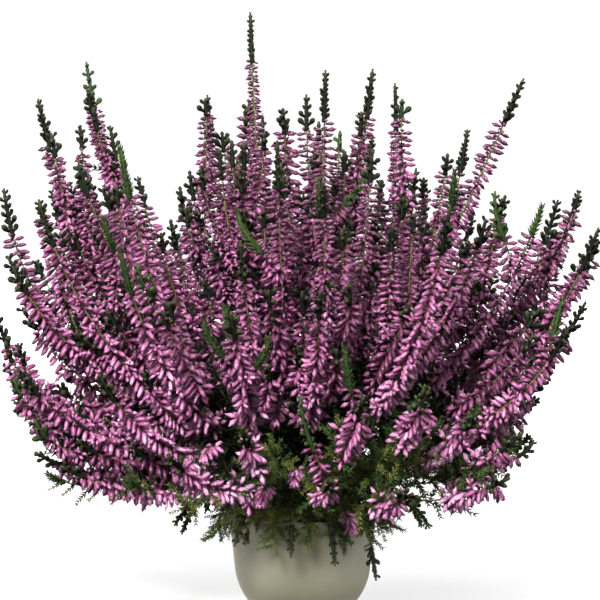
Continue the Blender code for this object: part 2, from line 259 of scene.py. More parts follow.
@dataclass(frozen=True)
class BudFinish:
    """Closed heather buds: a brownish foot, made darker still as painted shade where the bud meets
    its stem, mauve-pink flanks and a paler point.

    The growth map's tone runs from maroon to full pink: young buds are maroon, and buds deep inside
    the plant and high on it are set darker, as painted shade.
    """

    foot: tuple = linear(88, 40, 50)
    waist: tuple = linear(146, 70, 114)
    point: tuple = linear(232, 186, 214)
    maroon: tuple = linear(66, 24, 44)
    mauve: tuple = linear(158, 87, 130)
    pink: tuple = linear(208, 138, 181)
    pale: tuple = linear(228, 172, 208)
    vein: tuple = linear(92, 34, 72)

    def make(self) -> bpy.types.Material:
        """Builds the material."""
        book = FinishBook("bud_mauve")
        along, tone = book.along_and_tone()
        body = book.ramp(tone, (0.0, self.maroon), (0.4, self.mauve), (0.78, self.pink), (1.0, self.pale))
        # along each bud: its own colours, with the foot darkened as painted shade where it meets the stem
        length = book.ramp(along, (0.0, self.foot), (0.3, self.waist), (0.8, self.pink), (1.0, self.point))
        share = book.shares(along, (0.0, 0.85), (0.35, 0.35), (0.7, 0.05), (1.0, 0.35))
        streak = book.shares(book.noise(1100.0, 3.0), (0.42, 0.0), (0.66, 0.6))
        colour = book.mix(streak, book.mix(share, body, length), self.vein)
        book.dress(Base_Color=colour, Roughness=0.38, Specular_IOR_Level=0.5)
        book.bump(book.noise(2600.0), 0.3, 0.0002)
        return book.material


@dataclass(frozen=True)
class LeafFinish:
    """Scale leaves, from the nearly black green of an old tip to the yellow olive of a young one.

    The black end also serves as painted shade for the leaves deep inside the plant.
    """

    black: tuple = linear(7, 8, 6)
    dark: tuple = linear(30, 34, 20)
    green: tuple = linear(47, 66, 34)
    fresh: tuple = linear(70, 91, 43)
    olive: tuple = linear(112, 116, 56)
    shade: tuple = linear(12, 17, 8)
    glint: tuple = linear(128, 138, 86)

    def make(self) -> bpy.types.Material:
        """Builds the material."""
        book = FinishBook("leaf_green")
        along, tone = book.along_and_tone()
        young = ((0.55, self.green), (0.78, self.fresh), (1.0, self.olive))
        body = book.ramp(tone, (0.0, self.black), (0.25, self.dark), *young)
        # darker towards the foot of each leaf: painted shade where it meets its stem
        colour = book.mix(book.shares(along, (0.0, 0.55), (0.5, 0.0)), body, self.shade)
        colour = book.mix(book.shares(along, (0.7, 0.0), (1.0, 0.18)), colour, self.glint)
        patch = book.shares(book.noise(420.0, 3.0), (0.4, 0.0), (0.7, 0.5))
        book.dress(Base_Color=book.mix(patch, colour, self.shade), Roughness=0.66, Specular_IOR_Level=0.14)
        book.bump(book.noise(2400.0), 0.35, 0.0002)
        return book.material


@dataclass(frozen=True)
class BarkFinish:
    """Thin woody stems: orange-brown low down, pale olive where they are young."""

    old: tuple = linear(108, 78, 50)
    middle: tuple = linear(104, 92, 52)
    young: tuple = linear(112, 112, 62)
    crack: tuple = linear(40, 28, 20)

    def make(self) -> bpy.types.Material:
        """Builds the material."""
        book = FinishBook("bark_brown")
        along, _ = book.along_and_tone()
        colour = book.ramp(along, (0.1, self.old), (0.45, self.middle), (0.8, self.young))
        grain = book.noise(1400.0, 4.0)
        cracks = book.shares(grain, (0.35, 0.75), (0.6, 0.0))
        book.dress(Base_Color=book.mix(cracks, colour, self.crack), Roughness=0.75)
        book.bump(grain, 0.6, 0.0003)
        return book.material


@dataclass(frozen=True)
class PotFinish:
    """The pot: matt taupe, with a faint cloudiness and a fine tooth."""

    body: tuple = linear(112, 109, 91)
    cloud: tuple = linear(104, 101, 84)

    def make(self) -> bpy.types.Material:
        """Builds the material."""
        book = FinishBook("pot_taupe")
        cloud = book.ramp(book.noise(38.0, 3.0), (0.35, self.cloud), (0.65, self.body))
        speck = book.noise(1500.0, 2.0)
        fleck = book.ramp(speck, (0.4, self.cloud), (0.6, self.body))
        rough = book.spread(book.noise(220.0, 3.0), (0.3, 0.7), (0.56, 0.68))
        book.dress(Base_Color=book.mix(0.12, cloud, fleck, "SOFT_LIGHT"), Roughness=rough)
        book.dress(Sheen_Weight=0.3, Sheen_Roughness=0.35)
        book.bump(speck, 0.12, 0.0001)
        return book.material


@dataclass(frozen=True)
class PeatFinish:
    """Moist peat: nearly black brown with fibres and paler crumbs."""

    wet: tuple = linear(34, 24, 18)
    dry: tuple = linear(78, 58, 42)

    def make(self) -> bpy.types.Material:
        """Builds the material."""
        book = FinishBook("peat_brown")
        grain = book.noise(420.0, 6.0)
        book.dress(Base_Color=book.ramp(grain, (0.3, self.wet), (0.75, self.dry)), Roughness=0.95)
        book.bump(grain, 0.8, 0.0012)
        return book.material


@dataclass(frozen=True)
class FloorFinish:
    """The plain pale floor, which glows a little so that it stays white to its far edge.

    It glows less near the pot, which paints the floor darker round the pot's foot, painted shade on top
    of the shadow that the plant casts there.
    """

    shade: tuple = (0.4, 0.4, 0.4, 1.0)
    near_glow: float = 0.3
    far_glow: float = 1.06
    near: float = 0.2
    far: float = 1.6

    def make(self) -> bpy.types.Material:
        """Builds the material."""
        book = FinishBook("floor_pale")
        reach = book.add("ShaderNodeVectorMath", operation="LENGTH")
        book.feed(reach.inputs[0], book.add("ShaderNodeTexCoord").outputs["Object"])
        reached, glowing = (self.near, self.far), (self.near_glow, self.far_glow)
        glow = book.spread(reach.outputs["Value"], reached, glowing)
        book.dress(Base_Color=self.shade, Roughness=0.9, Specular_IOR_Level=0.1)
        book.dress(Emission_Color=WHITE, Emission_Strength=glow)
        return book.material


# Small shapes that repeat


@dataclass
class Pattern:
    """One small shape that is modelled once and copied along the stems.

    It stands on the origin and grows along +Z, in millimetres.
    """

    points: np.ndarray
    corners: np.ndarray
    sizes: np.ndarray
    along: np.ndarray
    parts: np.ndarray
    smooth: np.ndarray
    tones: np.ndarray | None = None

    @classmethod
    def read(cls, piece: bpy.types.Object, part: Part, smooth: bool) -> "Pattern":
        """Reads a modelled object and removes it.

        Args:
            piece: The modelled object, in millimetres.
            part: The finish that its faces carry.
            smooth: Whether its faces are shaded smooth.

        Returns:
            The shape as arrays.
        """
        mesh = piece.data
        points = np.zeros(len(mesh.vertices) * 3)
        mesh.vertices.foreach_get("co", points)
        points = points.reshape(-1, 3)
        corners = np.zeros(len(mesh.loops), int)
        mesh.loops.foreach_get("vertex_index", corners)
        sizes = np.zeros(len(mesh.polygons), int)
        mesh.polygons.foreach_get("loop_total", sizes)
        height = points[:, 2]
        along = (height - height.min()) / (height.max() - height.min())
        bpy.data.objects.remove(piece, do_unlink=True)
        count = len(sizes)
        return cls(points, corners, sizes, along, np.full(count, part.value), np.full(count, smooth))

    @classmethod
    def joined(cls, placed: list["Placed"]) -> "Pattern":
        """Joins placed shapes into one, all the copies of a shape at a time.

        Args:
            placed: The placed copies.

        Returns:
            The joined shape, whose copies keep their own reading of how far along a point lies.
        """
        groups: dict[int, list[Placed]] = {}
        for item in placed:
            groups.setdefault(id(item.pattern), []).append(item)
        rows = []
        first = 0
        for items in groups.values():
            shape, count = items[0].pattern, len(items)
            size = len(shape.points)
            turns = np.array([item.basis * item.size for item in items])
            origins = np.array([item.origin for item in items])
            starts = first + np.arange(count) * size
            points = np.einsum("nij,kj->nki", turns, shape.points) + origins[:, None]
            corners = shape.corners[None] + starts[:, None]
            alike = [np.tile(row, count) for row in (shape.sizes, shape.along, shape.parts, shape.smooth)]
            tones = np.repeat([item.tone for item in items], size)
            rows.append((points.reshape(-1, 3), corners.ravel(), *alike, tones))
            first += count * size
        return cls(*(np.concatenate(row) for row in zip(*rows)))

    def bent(self, amount: float) -> "Pattern":
        """A copy that curves towards +X by a share of its height at the top."""
        points = self.points.copy()
        height = points[:, 2].max()
        points[:, 0] += amount * height * (points[:, 2] / height) ** 2
        return replace(self, points=points)

    def mesh(self, name: str) -> bpy.types.Mesh:
        """Makes a mesh with its growth map: how far along its shape a point lies, and the shape's tone.

        Args:
            name: The mesh's name.

        Returns:
            The mesh, in metres.
        """
        mesh = bpy.data.meshes.new(name)
        mesh.vertices.add(len(self.points))
        mesh.vertices.foreach_set("co", (self.points * MM).ravel())
        mesh.loops.add(len(self.corners))
        mesh.loops.foreach_set("vertex_index", self.corners.astype(np.int32))
        mesh.polygons.add(len(self.sizes))
        starts = np.concatenate(((0,), np.cumsum(self.sizes)[:-1]))
        mesh.polygons.foreach_set("loop_start", starts.astype(np.int32))
        mesh.polygons.foreach_set("material_index", self.parts.astype(np.int32))
        mesh.polygons.foreach_set("use_smooth", self.smooth.astype(bool))
        growth = np.column_stack((self.along, self.tones))[self.corners]
        layer = mesh.uv_layers.new(name="growth")
        layer.data.foreach_set("uv", growth.astype(np.float32).ravel())
        mesh.update(calc_edges=True)
        mesh.validate()
        return mesh


@dataclass
class Placed:
    """One copy of a pattern: where its foot is, how it is turned, its size and its tone."""

    pattern: Pattern
    origin: np.ndarray
    basis: np.ndarray
    size: float = 1.0
    tone: float = 0.5


def unit(vector: np.ndarray) -> np.ndarray:
    """The vector at length one."""
    return vector / np.linalg.norm(vector)


def level(angle: float) -> np.ndarray:
    """The level direction at an angle from +X, in radians."""
    return np.array((math.cos(angle), math.sin(angle), 0.0))


def spoke(way: np.ndarray, side: np.ndarray, angle: float) -> np.ndarray:
    """The direction outwards at an angle round a stem.

    Args:
        way: The stem's direction.
        side: Its steady cross direction.
        angle: The turn from there, in radians.

    Returns:
        The unit direction.
    """
    return side * math.cos(angle) + np.cross(way, side) * math.sin(angle)


def basis_of(way: np.ndarray, side: np.ndarray) -> np.ndarray:
    """A turn that takes +Z to a direction and +X as near as it can to another.

    Args:
        way: The direction that the shape grows in.
        side: The direction that its +X side faces.

    Returns:
        A 3 by 3 matrix whose columns are the turned axes.
    """
    way = unit(way)
    across = side - way * (side @ way)
    if np.linalg.norm(across) < 1e-6:
        across = np.array((way[1], -way[0], 0.3))
        across = across - way * (across @ way)
    across = unit(across)
    return np.column_stack((across, np.cross(way, across), way))


def clear_selection() -> None:
    """Deselects everything, so that an operator acts on the new piece alone."""
    bpy.ops.object.select_all(action="DESELECT")


@dataclass
class Loft:
    """A slim closed shape drawn up from a small circle, ring by ring, and closed in a point."""

    sides: int
    foot: float
    rings: tuple[tuple[float, float], ...]
    point: float
    flatness: float = 1.0

    def model(self, part: Part, smooth: bool = True) -> Pattern:
        """Models the shape with extrusions.

        Args:
            part: The finish that its faces carry.
            smooth: Whether its faces are shaded smooth.

        Returns:
            The shape.
        """
        clear_selection()
        bpy.ops.mesh.primitive_circle_add(vertices=self.sides, radius=self.foot, fill_type="NGON")
        piece = bpy.context.object
        bpy.ops.object.mode_set(mode="EDIT")
        height, radius = 0.0, self.foot
        for ring_height, ring_radius in self.rings:
            self.step(ring_height - height, ring_radius / radius)
            height, radius = ring_height, ring_radius
        self.step(self.point - height, 0.2)
        bpy.ops.mesh.merge(type="CENTER")
        bpy.ops.mesh.select_all(action="SELECT")
        bpy.ops.transform.resize(value=(1.0, self.flatness, 1.0), center_override=(0.0, 0.0, 0.0))
        bpy.ops.mesh.normals_make_consistent(inside=False)
        bpy.ops.object.mode_set(mode="OBJECT")
        return Pattern.read(piece, part, smooth)

    @staticmethod
    def step(rise: float, growth: float) -> None:
        """Draws the selected ring up and widens or narrows it.

        Args:
            rise: How far up, in millimetres.
            growth: The new ring's size over the old one's.
        """
        bpy.ops.mesh.extrude_region_move(TRANSFORM_OT_translate={"value": (0.0, 0.0, rise)})
        bpy.ops.transform.resize(value=(growth, growth, 1.0))


@dataclass
class SmallShapes:
    """Every small shape of the plant, modelled once."""

    bud_length: float = 6.2
    bud_radius: float = 1.22
    leaf_length: float = 2.6
    leaf_radius: float = 0.48
    club_length: float = 4.4
    club_radius: float = 1.08
    twig_length: float = 12.0
    sprig_length: float = 6.0
    variants: int = 4
    buds: list[Pattern] = field(default_factory=list)
    small_buds: list[Pattern] = field(default_factory=list)
    leaf: Pattern | None = None
    club: Pattern | None = None
    twigs: list[Pattern] = field(default_factory=list)
    brushes: list[Pattern] = field(default_factory=list)
    sprigs: list[Pattern] = field(default_factory=list)

    def model(self) -> "SmallShapes":
        """Models every small shape.

        Returns:
            These shapes, now filled in.
        """
        length, radius = self.bud_length, self.bud_radius
        bud = Loft(4, 0.22 * radius, ((0.34 * length, radius), (0.8 * length, 0.8 * radius)), length)
        bud = bud.model(Part.BUD)
        self.buds = [bud.bent(amount) for amount in (-0.04, -0.1, -0.17)]
        small = Loft(4, 0.34 * radius, ((0.62 * length, 0.98 * radius),), length).model(Part.BUD)
        self.small_buds = [small.bent(amount) for amount in (-0.05, -0.12)]
        self.leaf = Loft(3, self.leaf_radius, (), self.leaf_length, 0.6).model(Part.LEAF, False)
        self.club = self.model_club()
        rng = np.random.default_rng(SEED)
        for _ in range(self.variants):
            self.twigs.append(self.model_twig(rng, 8, 3, 1.0))
            self.brushes.append(self.model_twig(rng, 4, 3, 1.9))
            self.sprigs.append(self.model_sprig(rng))
        return self

    def model_club(self) -> Pattern:
        """One club-shaped side shoot: a thin neck and a blunt head."""
        length, radius = self.club_length, self.club_radius
        rings = ((0.3 * length, 0.5 * radius), (0.62 * length, radius), (0.86 * length, 0.84 * radius))
        return Loft(4, 0.3 * radius, rings, length).model(Part.LEAF)

    def model_twig(self, rng: np.random.Generator, whorls: int, leaves: int, leaf_size: float) -> Pattern:
        """A short leafy twig: a thin core with whorls of slim scale leaves.

        Args:
            rng: The source of its small irregularities.
            whorls: How many whorls of leaves it has.
            leaves: How many leaves a whorl has.
            leaf_size: The leaves' size over their modelled one.

        Returns:
            The twig.
        """
        length = self.twig_length
        core = Loft(3, 0.28, (), 0.94 * length).model(Part.BARK)
        placed = [Placed(core, np.zeros(3), np.eye(3))]
        for whorl in range(whorls):
            height = length * (0.1 + 0.78 * whorl / (whorls - 1))
            for index in range(leaves):
                angle = whorl * 1.05 + index * math.tau / leaves + rng.uniform(-0.3, 0.3)
                out = level(angle)
                way = out * rng.uniform(0.7, 1.25) + UP
                size = leaf_size * (1.15 - 0.3 * whorl / whorls) * rng.uniform(0.85, 1.15)
                placed.append(Placed(self.leaf, out * 0.12 + UP * height, basis_of(way, -out), size))
        return Pattern.joined(placed)

    def model_sprig(self, rng: np.random.Generator) -> Pattern:
        """A short flowering side shoot: a stalk, a few leaves and half a dozen buds.

        Args:
            rng: The source of its small irregularities.

        Returns:
            The sprig.
        """
        length = self.sprig_length
        placed = [Placed(Loft(3, 0.26, (), length).model(Part.BARK), np.zeros(3), np.eye(3))]
        for index, share in enumerate((0.3, 0.42, 0.58, 0.72, 0.9)):
            out = level(index * SPIRAL_TURN + rng.uniform(-0.3, 0.3))
            way = out * (1.15 - share) + UP * (0.35 + 0.5 * share)
            bud = self.small_buds[index % len(self.small_buds)]
            placed.append(Placed(bud, UP * (share * length), basis_of(way, -out), rng.uniform(0.76, 0.96)))
        for index in range(4):
            out = level(index * 1.7 + rng.uniform(-0.3, 0.3))
            foot = UP * (0.15 + 0.14 * index) * length
            placed.append(Placed(self.leaf, foot, basis_of(out + UP, -out), 0.95))
        return Pattern.joined(placed)


# Where the stems run, by the same rule as the solids


@dataclass(frozen=True)
class Tip:
    """Where a spike ends, and how upright its end is."""

    place: np.ndarray
    upright: float

    @property
    def height(self) -> float:
        """How far the tip is above the soil."""
        return float(self.place[2]) - Habit.soil_top

    @property
    def reach(self) -> float:
        """How far the tip is from the pot's axis."""
        return math.hypot(self.place[0], self.place[1])

    @property
    def heading(self) -> np.ndarray:
        """The unit direction from the middle of the soil to the tip."""
        return unit(self.place - UP * Habit.soil_top)

    @property
    def out(self) -> np.ndarray:
        """The level direction from the pot's axis to the tip."""
        return unit(self.place * LEVEL)


@dataclass
class Route:
    """The line that a stem follows, as points a millimetre or a few apart."""

    points: np.ndarray
    lengths: np.ndarray = field(init=False)

    def __post_init__(self) -> None:
        """Measures the line."""
        steps = np.linalg.norm(np.diff(self.points, axis=0), axis=1)
        self.lengths = np.concatenate(((0.0,), np.cumsum(steps)))

    @property
    def length(self) -> float:
        """The whole length."""
        return float(self.lengths[-1])

    @property
    def end(self) -> np.ndarray:
        """The last point."""
        return self.points[-1]

    @property
    def outward(self) -> float:
        """From 0 where it stands upright to 1 where it leans out to the plant's face."""
        lean = math.degrees(math.atan2(math.hypot(self.end[0], self.end[1]), self.end[2] - Habit.soil_top))
        return min(max((lean - 25.0) / 35.0, 0.0), 1.0)

    def at(self, along: float) -> tuple[np.ndarray, np.ndarray]:
        """The point and the direction at a length along the line.

        Args:
            along: The length from the start.

        Returns:
            The point and the unit direction.
        """
        along = min(max(along, 0.0), self.length)
        step = min(int(np.searchsorted(self.lengths, along, side="right")) - 1, len(self.points) - 2)
        span = self.lengths[step + 1] - self.lengths[step]
        way = (self.points[step + 1] - self.points[step]) / span
        return self.points[step] + way * (along - self.lengths[step]), way


@dataclass(frozen=True)
class Habit:
    """How the whole plant grows: the tips of its spikes and the curves of its stems.

    The tips' rows are across, depth and height, and for a leaning one how upright it is. A rim shoot's row
    is its bearing in degrees, and its tip's reach and height.
    """

    soil_top = 44.0
    root_disc: float = 27.0
    root_spread: float = 0.66
    root_apart: float = 4.4
    root_rounds: int = 40
    root_rise: tuple = (28.0, 0.12)
    root_reach: float = 0.05
    curve_rise: tuple = (6.0, 0.28)
    curve_reach: float = 0.77
    hole_depth: float = 7.5
    dome_low: float = 118.0
    dome_rise: float = 104.0
    dome_uneven: float = 0.07
    dome_directions: int = 420
    spike_spacing: float = math.radians(15.0)
    pair_spacing: float = math.radians(30.0)
    lowest_lean: float = math.radians(80.0)
    route_steps: int = 60
    fork_share: float = 0.27
    fork_leaves_at: float = math.radians(38.0)
    leave_share: float = 0.3
    arrive_share: float = 0.5
    arrive_points: int = 6
    shoot_disc: float = 31.5
    shoot_lean: float = 2.5
    shoot_rise: float = 20.0
    shoot_over: float = 0.86
    outline_tips: tuple = (
        (-134, 26, 257), (-112, 60, 276), (-95, -16, 244), (-85, -100, 235), (-88, 105, 216),
        (-108, -54, 227), (-127, -57, 209), (-125, -8, 212), (-113, 79, 218), (-49, 50, 259),
        (-26, 0, 300), (-21, 75, 249), (-12, -85, 238), (-62, 17, 213), (-64, -46, 199),
        (-41, -30, 233), (-3, 125, 212), (-35, 105, 226), (2, 43, 259), (11, -46, 271),
        (33, -75, 233), (56, -18, 223), (66, 85, 210), (84, 30, 242), (87, -78, 201),
        (102, 8, 209), (89, 62, 198), (116, -48, 206), (131, 40, 205), (138, -5, 212),
        (143, -50, 195), (143, 14, 178), (43, 130, 213), (-143, 28, 151), (-132, -34, 84),
        (-116, -75, 82), (-148, 6, 178), (-140, -52, 176), (-128, 70, 164), (-138, -58, 128),
        (-131, 20, 112), (107, -55, 96), (98, -95, 79), (122, 34, 104), (124, -2, 121),
        (128, 58, 140), (128, -62, 148), (-29, -100, 191), (-84, -122, 188), (68, -115, 208),
        (10, -110, 219), (8, -115, 169), (-33, -125, 160), (13, -118, 81), (83, -100, 112),
        (59, -120, 125), (-149, -10, 125), (-141, -25, 109), (-57, 14, 221), (21, 15, 231),
        (-118, 12, 215), (97, -20, 195), (144, 20, 155), (28, -122, 120), (114, -14, 90),
        (106, 36, 70),
    )
    leaning_tips: tuple = (
        (107, -45, 267, 0.4), (35, 0, 272, 0.5), (48, 66, 265, 1.15),
        (-151, 20, 212, 0.92), (-151, -20, 148, 0.9),
    )
    rim_shoots: tuple = (
        (-155, 70, 46), (-120, 66, 40), (-96, 55, 34), (-74, 57, 30), (-54, 61, 22),
        (-22, 68, 44), (18, 64, 38), (46, 66, 40), (84, 60, 34), (112, 64, 36),
        (140, 66, 42), (171, 62, 36),
    )

    def dome_tips(self) -> list[Tip]:
        """The outline's tips, then tips on an even spiral wherever no other tip is near.

        Returns:
            Every tip.
        """
        tips = [Tip(np.array(place, float), self.curve_reach) for place in self.outline_tips]
        tips += [Tip(np.array(row[:3], float), row[3]) for row in self.leaning_tips]
        golden = math.pi * (3.0 - math.sqrt(5.0))
        for step in range(self.dome_directions):
            rise = 1.0 - (step + 0.5) / self.dome_directions * (1.0 - math.cos(self.lowest_lean))
            level = math.sqrt(1.0 - rise * rise)
            bearing = step * golden
            way = np.array((level * math.cos(bearing), level * math.sin(bearing), rise))
            nearest = max(float(way @ tip.heading) for tip in tips)
            if math.acos(min(1.0, nearest)) < self.spike_spacing:
                continue
            uneven = 1.0 - self.dome_uneven + self.dome_uneven * math.sin(step * 2.4)
            length = (self.dome_low + self.dome_rise * rise) * uneven
            tips.append(Tip(way * length + UP * self.soil_top, self.curve_reach))
        return tips

    def pair_tips(self, tips: list[Tip]) -> list[list[Tip]]:
        """Joins each tip with its nearest free neighbour, longest first.

        Args:
            tips: Every tip.

        Returns:
            The one or two tips of each spray, the main one first.
        """
        free = sorted(tips, key=lambda tip: -math.hypot(tip.reach, tip.height))
        sprays = []
        while free:
            main = free.pop(0)
            spray = [main]
            near = sorted(range(len(free)), key=lambda index: -float(free[index].heading @ main.heading))
            if near:
                angle = math.acos(min(1.0, float(free[near[0]].heading @ main.heading)))
                if angle < self.pair_spacing:
                    spray.append(free.pop(near[0]))
            sprays.append(spray)
        return sprays

    @staticmethod
    def curve(points: tuple[np.ndarray, ...]) -> np.ndarray:
        """The points of a cubic curve."""
        share = np.linspace(0.0, 1.0, Habit.route_steps + 1)[:, None]
        rest = 1.0 - share
        a, b, c, d = points
        return a * rest**3 + 3.0 * b * rest**2 * share + 3.0 * c * rest * share**2 + d * share**3

    def root_of(self, tip: Tip) -> np.ndarray:
        """Where a stem leaves the soil."""
        lean = math.atan2(tip.reach, tip.height)
        return tip.out * (self.root_disc * (lean / (0.5 * math.pi)) ** self.root_spread) + UP * self.soil_top

    def spread_roots(self, roots: list[np.ndarray]) -> list[np.ndarray]:
        """Pushes roots apart until no two are too near.

        Args:
            roots: Where the stems would leave the soil.

        Returns:
            Where they do.
        """
        roots = [root.copy() for root in roots]
        for _ in range(self.root_rounds):
            for index, root in enumerate(roots):
                for other in roots[index + 1 :]:
                    apart = other - root
                    short = self.root_apart - float(np.linalg.norm(apart))
                    if short > 0.0:
                        push = unit(apart) * (0.5 * short)
                        root -= push
                        other += push
        return roots

    def rooted(self, line: np.ndarray) -> Route:
        """A route with a straight foot in the soil."""
        return Route(np.vstack((line[0] - UP * self.hole_depth, line)))

    def main_route(self, tip: Tip, root: np.ndarray) -> Route:
        """The route of a spray's main stem.

        Args:
            tip: Where it ends.
            root: Where it leaves the soil.

        Returns:
            The route.
        """
        second = root + tip.out * (self.root_reach * tip.reach)
        second = second + UP * (self.root_rise[0] + self.root_rise[1] * tip.height)
        third = tip.out * (tip.upright * tip.reach)
        third = third + UP * (self.soil_top + self.curve_rise[0] + self.curve_rise[1] * tip.height)
        return self.rooted(self.curve((root, second, third, tip.place)))

    def side_route(self, main: Route, tip: Tip) -> Route:
        """The route of a second spike that forks off its main stem.

        Args:
            main: The main stem's route.
            tip: Where the side spike ends.

        Returns:
            The route.
        """
        start, way = main.at(self.fork_share * main.length)
        across = tip.place - start
        span = float(np.linalg.norm(across))
        across = unit(across - way * (across @ way))
        leave = way * math.cos(self.fork_leaves_at) + across * math.sin(self.fork_leaves_at)
        own = self.main_route(tip, self.root_of(tip)).points
        arrive = unit(own[-1] - own[-self.arrive_points])
        second = start + leave * (self.leave_share * span)
        third = tip.place - arrive * (self.arrive_share * span)
        return Route(self.curve((start, second, third, tip.place)))

    def shoot_route(self, bearing: float, reach: float, height: float) -> Route:
        """The route of a leafy shoot over the rim.

        Args:
            bearing: Its direction in degrees.
            reach: How far out its tip is.
            height: How high its tip is.

        Returns:
            The route.
        """
        out = level(math.radians(bearing))
        root = out * self.shoot_disc + UP * self.soil_top
        second = out * (self.shoot_disc + self.shoot_lean) + UP * (self.soil_top + self.shoot_rise)
        third = out * (self.shoot_over * reach) + UP * (self.soil_top + self.shoot_rise)
        return self.rooted(self.curve((root, second, third, out * reach + UP * height)))

    def sprays(self) -> list[list[Route]]:
        """Every spray's routes, the main one first."""
        pairs = self.pair_tips(self.dome_tips())
        made = []
        for tips, root in zip(pairs, self.spread_roots([self.root_of(tips[0]) for tips in pairs])):
            main = self.main_route(tips[0], root)
            made.append([main] + [self.side_route(main, tip) for tip in tips[1:]])
        return made

    def shoots(self) -> list[Route]:
        """Every rim shoot's route."""
        return [self.shoot_route(*row) for row in self.rim_shoots]


# The plant


@dataclass
class PlantPiece:
    """One spray or shoot in the making: its small shapes and its stems, which become one mesh."""

    node: str
    slot: str
    placed: list[Placed] = field(default_factory=list)

    def build(self, finishes: dict[Part, bpy.types.Material]) -> bpy.types.Object:
        """Makes the mesh and sets it on the frame.

        Args:
            finishes: The material of each part.

        Returns:
            The piece.
        """
        name = f"{self.node}_fine"
        mesh = Pattern.joined(self.placed).mesh(name)
        for part in Part:
            mesh.materials.append(finishes[part])
        piece = bpy.data.objects.new(name, mesh)
        bpy.context.scene.collection.objects.link(piece)
        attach(piece, "root")
        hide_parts(self.node)
        LOG.info("%s: %d faces", name, len(mesh.polygons))
        return piece


@dataclass
class Stem:
    """One stem while it is clothed: the piece it belongs to, its route and the source of its draws."""

    piece: PlantPiece
    route: Route
    rng: np.random.Generator
    missing = 0.06
    sides = 4

    def branch(self, route: Route) -> "Stem":
        """Another stem of the same piece."""
        return Stem(self.piece, route, self.rng)

    def drawn(self, patterns: list[Pattern]) -> Pattern:
        """One of several variants of a shape, by chance."""
        return patterns[int(self.rng.integers(len(patterns)))]

    def shade(self, tone: float, uneven: float) -> float:
        """A tone from 0 to 1 that strays by chance."""
        return float(np.clip(tone + self.rng.normal(0.0, uneven), 0.0, 1.0))

    def put(
        self, pattern: Pattern, foot: np.ndarray, way: np.ndarray, side: np.ndarray, size: float, tone: float
    ) -> None:
        """Sets a copy of a shape.

        Args:
            pattern: The shape.
            foot: Where it stands.
            way: The direction that it grows in.
            side: The direction that its +X side faces.
            size: Its size over the modelled one.
            tone: Its tone.
        """
        self.piece.placed.append(Placed(pattern, foot, basis_of(way, side), size, tone))

    def frames(self, places: np.ndarray) -> list[tuple[np.ndarray, np.ndarray, np.ndarray]]:
        """Steady frames along the route.

        Args:
            places: Lengths along it, in order.

        Returns:
            The point, the direction and a steady cross direction at each place.
        """
        made = []
        side = np.array((0.3, 0.7, 0.2))
        for along in places:
            point, way = self.route.at(float(along))
            side = unit(side - way * (side @ way))
            made.append((point, way, side))
        return made

    def pairs(self, places: np.ndarray, turns: np.ndarray, uneven: float) -> Iterator[tuple]:
        """Opposite pairs of directions, each pair across the last, with one missing now and then.

        Args:
            places: Where the pairs stand along the route.
            turns: How far each pair is turned, on top of the quarter turn from pair to pair.
            uneven: How far a direction strays by chance.

        Yields:
            The pair's number, which of the two it is, the point, the stem's direction and the way out.
        """
        for node, (point, way, side) in enumerate(self.frames(places)):
            for index in range(2):
                if self.rng.uniform() < self.missing:
                    continue
                angle = turns[node] + node * math.pi / 2.0 + index * math.pi + self.rng.normal(0.0, uneven)
                yield node, index, point, way, spoke(way, side, angle)

    def spiral(self, places: np.ndarray) -> Iterator[tuple]:
        """Directions that wind round the stem.

        Args:
            places: Where they stand along the route.

        Yields:
            The place, the point, the stem's direction and the way out.
        """
        turn = self.rng.uniform(0.0, math.tau)
        for node, (point, way, side) in enumerate(self.frames(places)):
            angle = turn + node * SPIRAL_TURN + self.rng.uniform(-0.4, 0.4)
            yield places[node], point, way, spoke(way, side, angle)

    def wrap(
        self, places: np.ndarray, radii: np.ndarray, part: Part, turn: float = 0.0, tone: float = 0.5
    ) -> None:
        """Wraps a closed tube round the route.

        Args:
            places: The lengths along it that have a ring.
            radii: Each ring's radius.
            part: The finish that its faces carry.
            turn: How far each ring is turned on from the last, in radians.
            tone: Its tone.
        """
        sides, rings = self.sides, len(places)
        points = []
        for ring, (point, way, side) in enumerate(self.frames(places)):
            for corner in range(sides):
                angle = corner * math.tau / sides + ring * turn
                points.append(point + spoke(way, side, angle) * radii[ring])
        faces = [tuple(range(sides))[::-1], tuple((rings - 1) * sides + corner for corner in range(sides))]
        for low in range(0, (rings - 1) * sides, sides):
            for corner in range(sides):
                here, after = low + corner, low + (corner + 1) % sides
                if turn == 0.0:
                    faces.append((here, after, after + sides, here + sides))
                else:
                    faces += [(here, after, here + sides), (after, after + sides, here + sides)]
        corners = np.array([corner for face in faces for corner in face])
        sizes = np.array([len(face) for face in faces])
        along = np.repeat(np.linspace(0.0, 1.0, rings), sides)
        parts, smooth = np.full(len(faces), part.value), np.full(len(faces), True)
        tube = Pattern(np.array(points), corners, sizes, along, parts, smooth)
        self.piece.placed.append(Placed(tube, np.zeros(3), np.eye(3), 1.0, tone))


@dataclass(frozen=True)
class Temper:
    """How one spike differs from its neighbours."""

    bud: float
    leaf: float
    tip: float
    feathery: bool
    fullness: float

    @classmethod
    def drawn(cls, rng: np.random.Generator, yellow_share: float, outward: float) -> "Temper":
        """Draws a spike's own look.

        Args:
            rng: The source of the draw.
            yellow_share: The share of tips that are yellow olive.
            outward: From 0 for an upright spike to 1 for one on the plant's outer face.

        Returns:
            The spike's temper.
        """
        yellow = rng.uniform() < yellow_share
        tip = rng.uniform(0.4, 0.66) if yellow else rng.uniform(0.0, 0.24)
        # painted shade: buds on upright spikes inside the plant are darker than those on its outer face
        bud = 0.36 + 0.4 * outward + rng.uniform(-0.14, 0.14)
        fullness = 0.9 + 0.28 * outward + rng.uniform(-0.07, 0.1)
        return cls(bud, rng.uniform(0.5, 0.95), tip, bool(yellow and rng.uniform() < 0.2), fullness)


